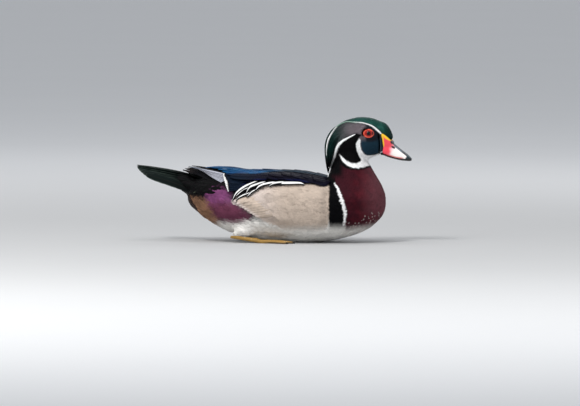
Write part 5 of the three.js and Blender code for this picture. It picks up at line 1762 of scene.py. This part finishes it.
def makeTailCoverts():
    plan = covertPlan
    dark, olive, soot = paint(11, 9, 11), paint(20, 25, 23), paint(6, 6, 7)
    rust, pale = paint(52, 36, 32), paint(150, 156, 132)
    coverts = Plumage("tailCoverts", 25)
    # Over the tail, from the rump on to the fan.
    for tier in range(plan["overTiers"]):
        share = tier / (plan["overTiers"] - 1)
        for k in range(plan["overRows"]):
            lean = (k + 0.5 * (tier % 2)) / plan["overRows"]
            turn = coverts.turn.normal(0, 1, 2)
            start = overTorso([-62 - 6.2 * tier + turn[0]], [90 - lean * blend(78, 84, share)], [0])[0][0]
            path, up = strideOver(start, [-1, 0.1 * lean, 0.12], blend(17, 27, share),
                                  stand=(0.3, 1.5 + 0.5 * share))
            coverts.add(path, up, blend(4.4, 5.2, share),
                        plain(dark, blend(dark, olive, 0.6), olive, sheen=0.3), roll=-6, taper=0.4,
                        power=1.7, camber=0.14)
    # Long ones close the room between the tail and the folded wings.
    for k in range(plan["longCoverts"]):
        out = 1.2 + 2.2 * k
        path = np.array([[-82, out, 85], [-95, out, 87.8], [-108, 1.05 * out, 90.4],
                         [-122 + out, 1.1 * out, 92.2]])
        path[:, 2] -= 0.22 * out
        leaning = unit(np.array([[0, 0.1 + 0.07 * out, 1.0]] * 4))
        coverts.add(path, leaning, 3.8, plain(soot, dark, olive, sheen=0.2), roll=-5, taper=0.4, power=1.7,
                    camber=0.16)
    # Under the tail, in soft dark tiers.
    for tier in range(plan["underTiers"]):
        share = tier / (plan["underTiers"] - 1)
        for k in range(plan["underRows"]):
            lean = (k + 0.5 * (tier % 2)) / plan["underRows"]
            start = [-92 - 5.4 * tier, lean * blend(22, 15, share), blend(34, 58, share) + 8 * lean]
            path, up = strideOver(start, [-0.7, 0.05, 0.7], blend(20, 24, share), stand=(0.3, 1.6))
            tint = blend(rust, soot, float(ease(0.15, 0.6, np.array(share))))
            coverts.add(path, up, blend(4.8, 4.2, share), plain(tint, soot, tint, sheen=0.15), roll=5,
                        taper=0.35, power=1.6, camber=0.14)
    # Long narrow plumes down the rump's sides. A few have pale edges.
    streaks = [([[-82, 73.5], [-93, 70.3], [-103.8, 65.2]], 0.75, 0.8),
               ([[-77, 72], [-87, 69], [-96.5, 65.2]], 0.7, 0.45)]
    for k in range(plan["rumpPlumes"]):
        turn = coverts.turn.random(4)
        start = np.array([-70 - 26 * turn[0], 66 + 20 * turn[1]])
        streaks.append(([start, start + [-9, -1.5], start + [-18 - 4 * turn[2], -6 * turn[3]]], 1.3, 0.0))
    for shaft, half, light in streaks:
        line = evenLine(np.array(shaft, float), 7)
        places, normals = onSide(line)
        stand = blend(0.2, 1.4 + light, np.linspace(0, 1, 7))[:, None]
        coverts.add(places + normals * stand, normals, half,
                    plain(blend(dark, pale, 0.4 * light), blend(soot, pale, light), soot, sheen=0.2,
                          tipFrom=0.4), camber=0.3,
                    taper=0.3, power=1.4)
    return coverts.build(vaneMaterial, "tail_coverts_upper", "tail_coverts_under", slot="tail")


makeFlankPlumes()
makeTail()
makeTailCoverts()


# Crest

crestPlan = {
    "half": 1.75,
    "layers": [(1.9, 0.9), (0.9, 0.45), (0.2, 0.1)],  # depth of root and tip under the outer face
    "stations": 10,
}
# Tiers down the crest: where plumes start and end along it, and how many lie side by side.
crestTiers = [(0.0, 0.3, 17), (0.08, 0.42, 19), (0.17, 0.54, 19), (0.27, 0.66, 19), (0.37, 0.78, 17),
              (0.47, 0.88, 15), (0.55, 0.95, 13), (0.62, 1.0, 11)]


def plumePaint(s, u, points):
    colour, sheen = markings(points.reshape(-1, 3), 0.35)
    return colour.reshape(points.shape), sheen.reshape(s.shape)


def makeCrest():
    plan = crestPlan
    crest = Plumage("crestPlumes", 26)
    for start, end, count in crestTiers:
        for layer, (deep, shallow) in enumerate(plan["layers"]):
            for k in range(count):
                turn = crest.turn.normal(0, 1, 4)
                across = ((k + 0.5 + 0.33 * layer) / count * 2 - 1) * 0.97 + 0.02 * turn[0]
                s = np.linspace(0, 1, 6)
                stop = end - 0.03 * abs(turn[1]) - 0.05 * abs(across) ** 2
                place = blend(start + 0.012 * turn[2], stop, s)
                spread = across * blend(1.0, 0.93, s) + 0.03 * turn[3] * s**2
                depth = blend(deep, shallow, s) + 0.9 * (1 - s) ** 2
                path = inCrest(place, spread, depth)
                outer = inCrest(place, spread, depth - 3)
                crest.add(path, unit(outer - path), plan["half"] * (1.15 - 0.25 * s.mean()), plumePaint,
                          root=0.7, taper=0.4, power=1.5, camber=0.3, mirror=False, thick=0.24,
                          stations=plan["stations"])
    return crest.build(plumeMaterial, "crest", slot="crest")


crest = makeCrest()


# The brow's and the cheek's white lines as rows of their own small feathers, over the coat and the crest

linePlan = {
    "step": 2.2,
    "length": 6.0,
    "stand": 0.75,  # over what lies under them
}


def outermost(flat):
    # The outermost of the skin and the crest at points of the picture's plane, carried over to the left side.
    starts, rays = sightLines(flat)
    depths = []
    for solid in (surface, Surface(crest.data)):
        places, _ = solid.cast(starts, rays)
        run = ((places - starts) * rays).sum(axis=1)
        missed = np.linalg.norm(places - starts - rays * run[:, None], axis=1) > 0.05
        depths.append(np.where(missed, 1e3, run))
    run = np.min(depths, axis=0)
    met = np.flatnonzero(run < 999)
    run = np.interp(np.arange(len(run)), met, run[met])
    for _ in range(2):
        run = np.minimum(run, np.minimum(np.append(run[1:], run[-1]), np.append(run[0], run[:-1])))
    return (starts + rays * run[:, None]) * [1, -1, 1]


def makeLines():
    rows = Plumage("lineFeathers", 27)
    for line, widths, shades in ((browLine, browWidths, (0.3, 0.42, 0.6, 0.68)),
                                 (cheekLine, cheekWidths, (2, 3, 4, 5))):
        run = np.linalg.norm(np.diff(line, axis=0), axis=1).sum()
        track = evenLine(line, 120)
        over = outermost(track)
        _, normals = surface.nearest(over)
        slope = unit(np.gradient(over, axis=0))
        over = over + normals * linePlan["stand"]
        aside = unit(np.cross(normals, slope))
        count = int(run / linePlan["step"])
        for k in range(count):
            for row in (-1, 1):
                turn = rows.turn.normal(0, 1, 2)
                start = (k + 0.25 * row) / count
                s = np.clip(start + np.linspace(-0.2, 0.8, 6) * linePlan["length"] / run, 0, 1) * 119
                at = np.clip(np.round(s).astype(int), 0, 119)
                if at[-1] - at[0] < 3:
                    continue
                half = float(along(np.array(widths)[:, None], [at[3] / 119])[0, 0])
                path = np.stack([np.interp(s, np.arange(120), over[:, j]) for j in range(3)], axis=1)
                path = path + aside[at] * (0.34 * row * half + 0.06 * turn[0])
                place = at[3] / 119
                green = float(ease(shades[0], shades[1], np.array(place))
                              * ease(shades[3], shades[2], np.array(place)))
                tint = blend(palette["white"], palette["paleGreen"], 0.75 * green)
                rows.add(path, normals[at], 0.7 * half, plain(tint, tint, tint, sheen=0.0), root=0.8,
                         taper=0.45, power=1.6, camber=0.12, thick=0.2, stations=7)
    return rows.build(plumeMaterial, slot="head")


makeLines()


# Legs, tucked under beside the belly

def legMaterial():
    recipe = Recipe("legScales", {"Specular IOR Level": 0.4, "Coat Weight": 0.1})
    scales = recipe.node("ShaderNodeTexVoronoi", {"feature": "DISTANCE_TO_EDGE"},
                         {"Scale": 700.0, "Vector": recipe.place()})
    edge = scales.between(0.0, 0.12)
    cloud = recipe.noise(120.0, 3.0)
    recipe.feed("Base Color", recipe.brighter(recipe.attribute("col", "Color"),
                                              0.72 + edge * 0.22 + cloud * 0.2))
    recipe.feed("Roughness", 0.45 + cloud * 0.25)
    return recipe.bump(edge, 0.6, 0.0003)


def makeLegs():
    scaly = legMaterial()
    straw, dusk, claw = paint(172, 134, 66), paint(74, 66, 54), paint(26, 22, 20)
    for side, mark in (("left", 1), ("right", -1)):
        leg = remeshed(grownCopy([f"shank_{side}", f"foot_{side}"], 0.2), 0.55)
        relax(leg.data, 4)
        points = pointsOf(leg.data)
        points[:, 2] = np.maximum(points[:, 2], 0.05)
        setPoints(leg.data, points)
        y = points[:, 1] * mark
        web = ease(2.4, 1.6, points[:, 2]) * ease(-6, 4, points[:, 0])
        colour = blend(straw, dusk, (0.75 * web)[:, None])
        toeEnds = np.array([[19, 33], [31, 45], [25, 57], [-18, 35]])
        ball = np.array([-10, 41.6])
        past = np.max([(np.stack([points[:, 0], y], axis=1) - end) @ unit(end - ball) - 1.0
                       - 3 * np.clip(np.abs((np.stack([points[:, 0], y], axis=1) - end)
                                            @ (unit(end - ball)[::-1] * [1, -1])) - 2.5, 0, None)
                       for end in toeEnds], axis=0)
        colour = blend(colour, claw, ease(-0.3, 0.6, past)[:, None])
        finishPart(leg, f"leg_{side}", colour)
        wear(leg, scaly, f"shank_{side}", f"foot_{side}", slot="leg")


makeLegs()
print("crest and legs made")


# Floor, light and camera

stagePlan = {
    "floorSize": 14.0,  # metres from the middle to its edge
    "floorTone": (0.5, 0.505, 0.51, 1),
    "lens": 500.0,
    "sensor": 36.0,
    "farthest": 50.0,  # metres
    "sky": (0.92, 0.95, 1.0, 1),
    "skyStrength": 0.45,
}
# Name, place, what it points at and size, all in metres, then watts and colour.
lamps = [
    ("key", (-0.55, -1.3, 1.7), (0.0, 0.0, 0.06), (0.45, 0.45), 20, (1.0, 0.985, 0.96)),
    ("overhead", (-0.3, -0.4, 2.2), (0.0, 0.0, 0.05), (2.6, 2.2), 26),
    ("frontLeft", (-1.3, -1.9, 1.1), (0.0, 0.0, 0.05), (1.2, 1.2), 10),
    ("frontRight", (1.7, -1.4, 0.9), (0.05, 0.0, 0.06), (1.0, 0.8), 6),
    ("behind", (0.4, 1.6, 1.2), (0.0, 0.0, 0.08), (1.4, 0.8), 4),
]


def floorMaterial():
    # A little paler far away, where less of the lamps' light falls.
    recipe = Recipe("paleFloor", {"Specular IOR Level": 0.2})
    away = recipe.node("ShaderNodeVectorMath", {"operation": "LENGTH"}, {0: recipe.place()}, output=1)
    pale = recipe.node("ShaderNodeRGB")
    pale.socket.default_value = stagePlan["floorTone"]
    tone = away.between(0.3, 2.6, 0.98, 1.9) + recipe.noise(3.0, 2.0) * 0.04
    recipe.feed("Base Color", recipe.brighter(pale, tone))
    recipe.feed("Roughness", 0.78 + recipe.noise(40.0) * 0.1)
    return recipe.material


def makeFloor():
    reach = stagePlan["floorSize"] / mm
    corners = np.array([[-reach, -reach, 0], [reach, -reach, 0], [reach, reach, 0], [-reach, reach, 0]])
    floor = buildMesh("floor", corners, [np.array([[0, 1, 2, 3]])])
    floor.data.materials.append(floorMaterial())


def makeLight(name, place, aim, size, power, tint=(1, 1, 1)):
    data = bpy.data.lights.new(name, "AREA")
    data.shape = "RECTANGLE"
    data.size, data.size_y = size
    data.energy = power
    data.color = tint
    lamp = bpy.data.objects.new(name, data)
    lamp.location = place
    lamp.rotation_euler = (Vector(aim) - Vector(place)).to_track_quat("-Z", "Y").to_euler()
    bpy.context.scene.collection.objects.link(lamp)


def makeCamera():
    data = bpy.data.cameras.new("camera")
    data.lens = stagePlan["lens"]
    data.sensor_width = stagePlan["sensor"]
    data.clip_end = stagePlan["farthest"]
    camera = bpy.data.objects.new("camera", data)
    camera.location = (lookFrom * mm).tolist()
    camera.rotation_euler = Vector(lookBack.tolist()).to_track_quat("Z", "Y").to_euler()
    bpy.context.scene.collection.objects.link(camera)
    bpy.context.scene.camera = camera


def makeWorld():
    world = bpy.data.worlds.new("softRoom")
    world.use_nodes = True
    backdrop = world.node_tree.nodes["Background"]
    backdrop.inputs["Color"].default_value = stagePlan["sky"]
    backdrop.inputs["Strength"].default_value = stagePlan["skyStrength"]
    bpy.context.scene.world = world


makeFloor()
for lamp in lamps:
    makeLight(*lamp)
makeWorld()
makeCamera()
bpy.context.scene.view_settings.view_transform = "Standard"
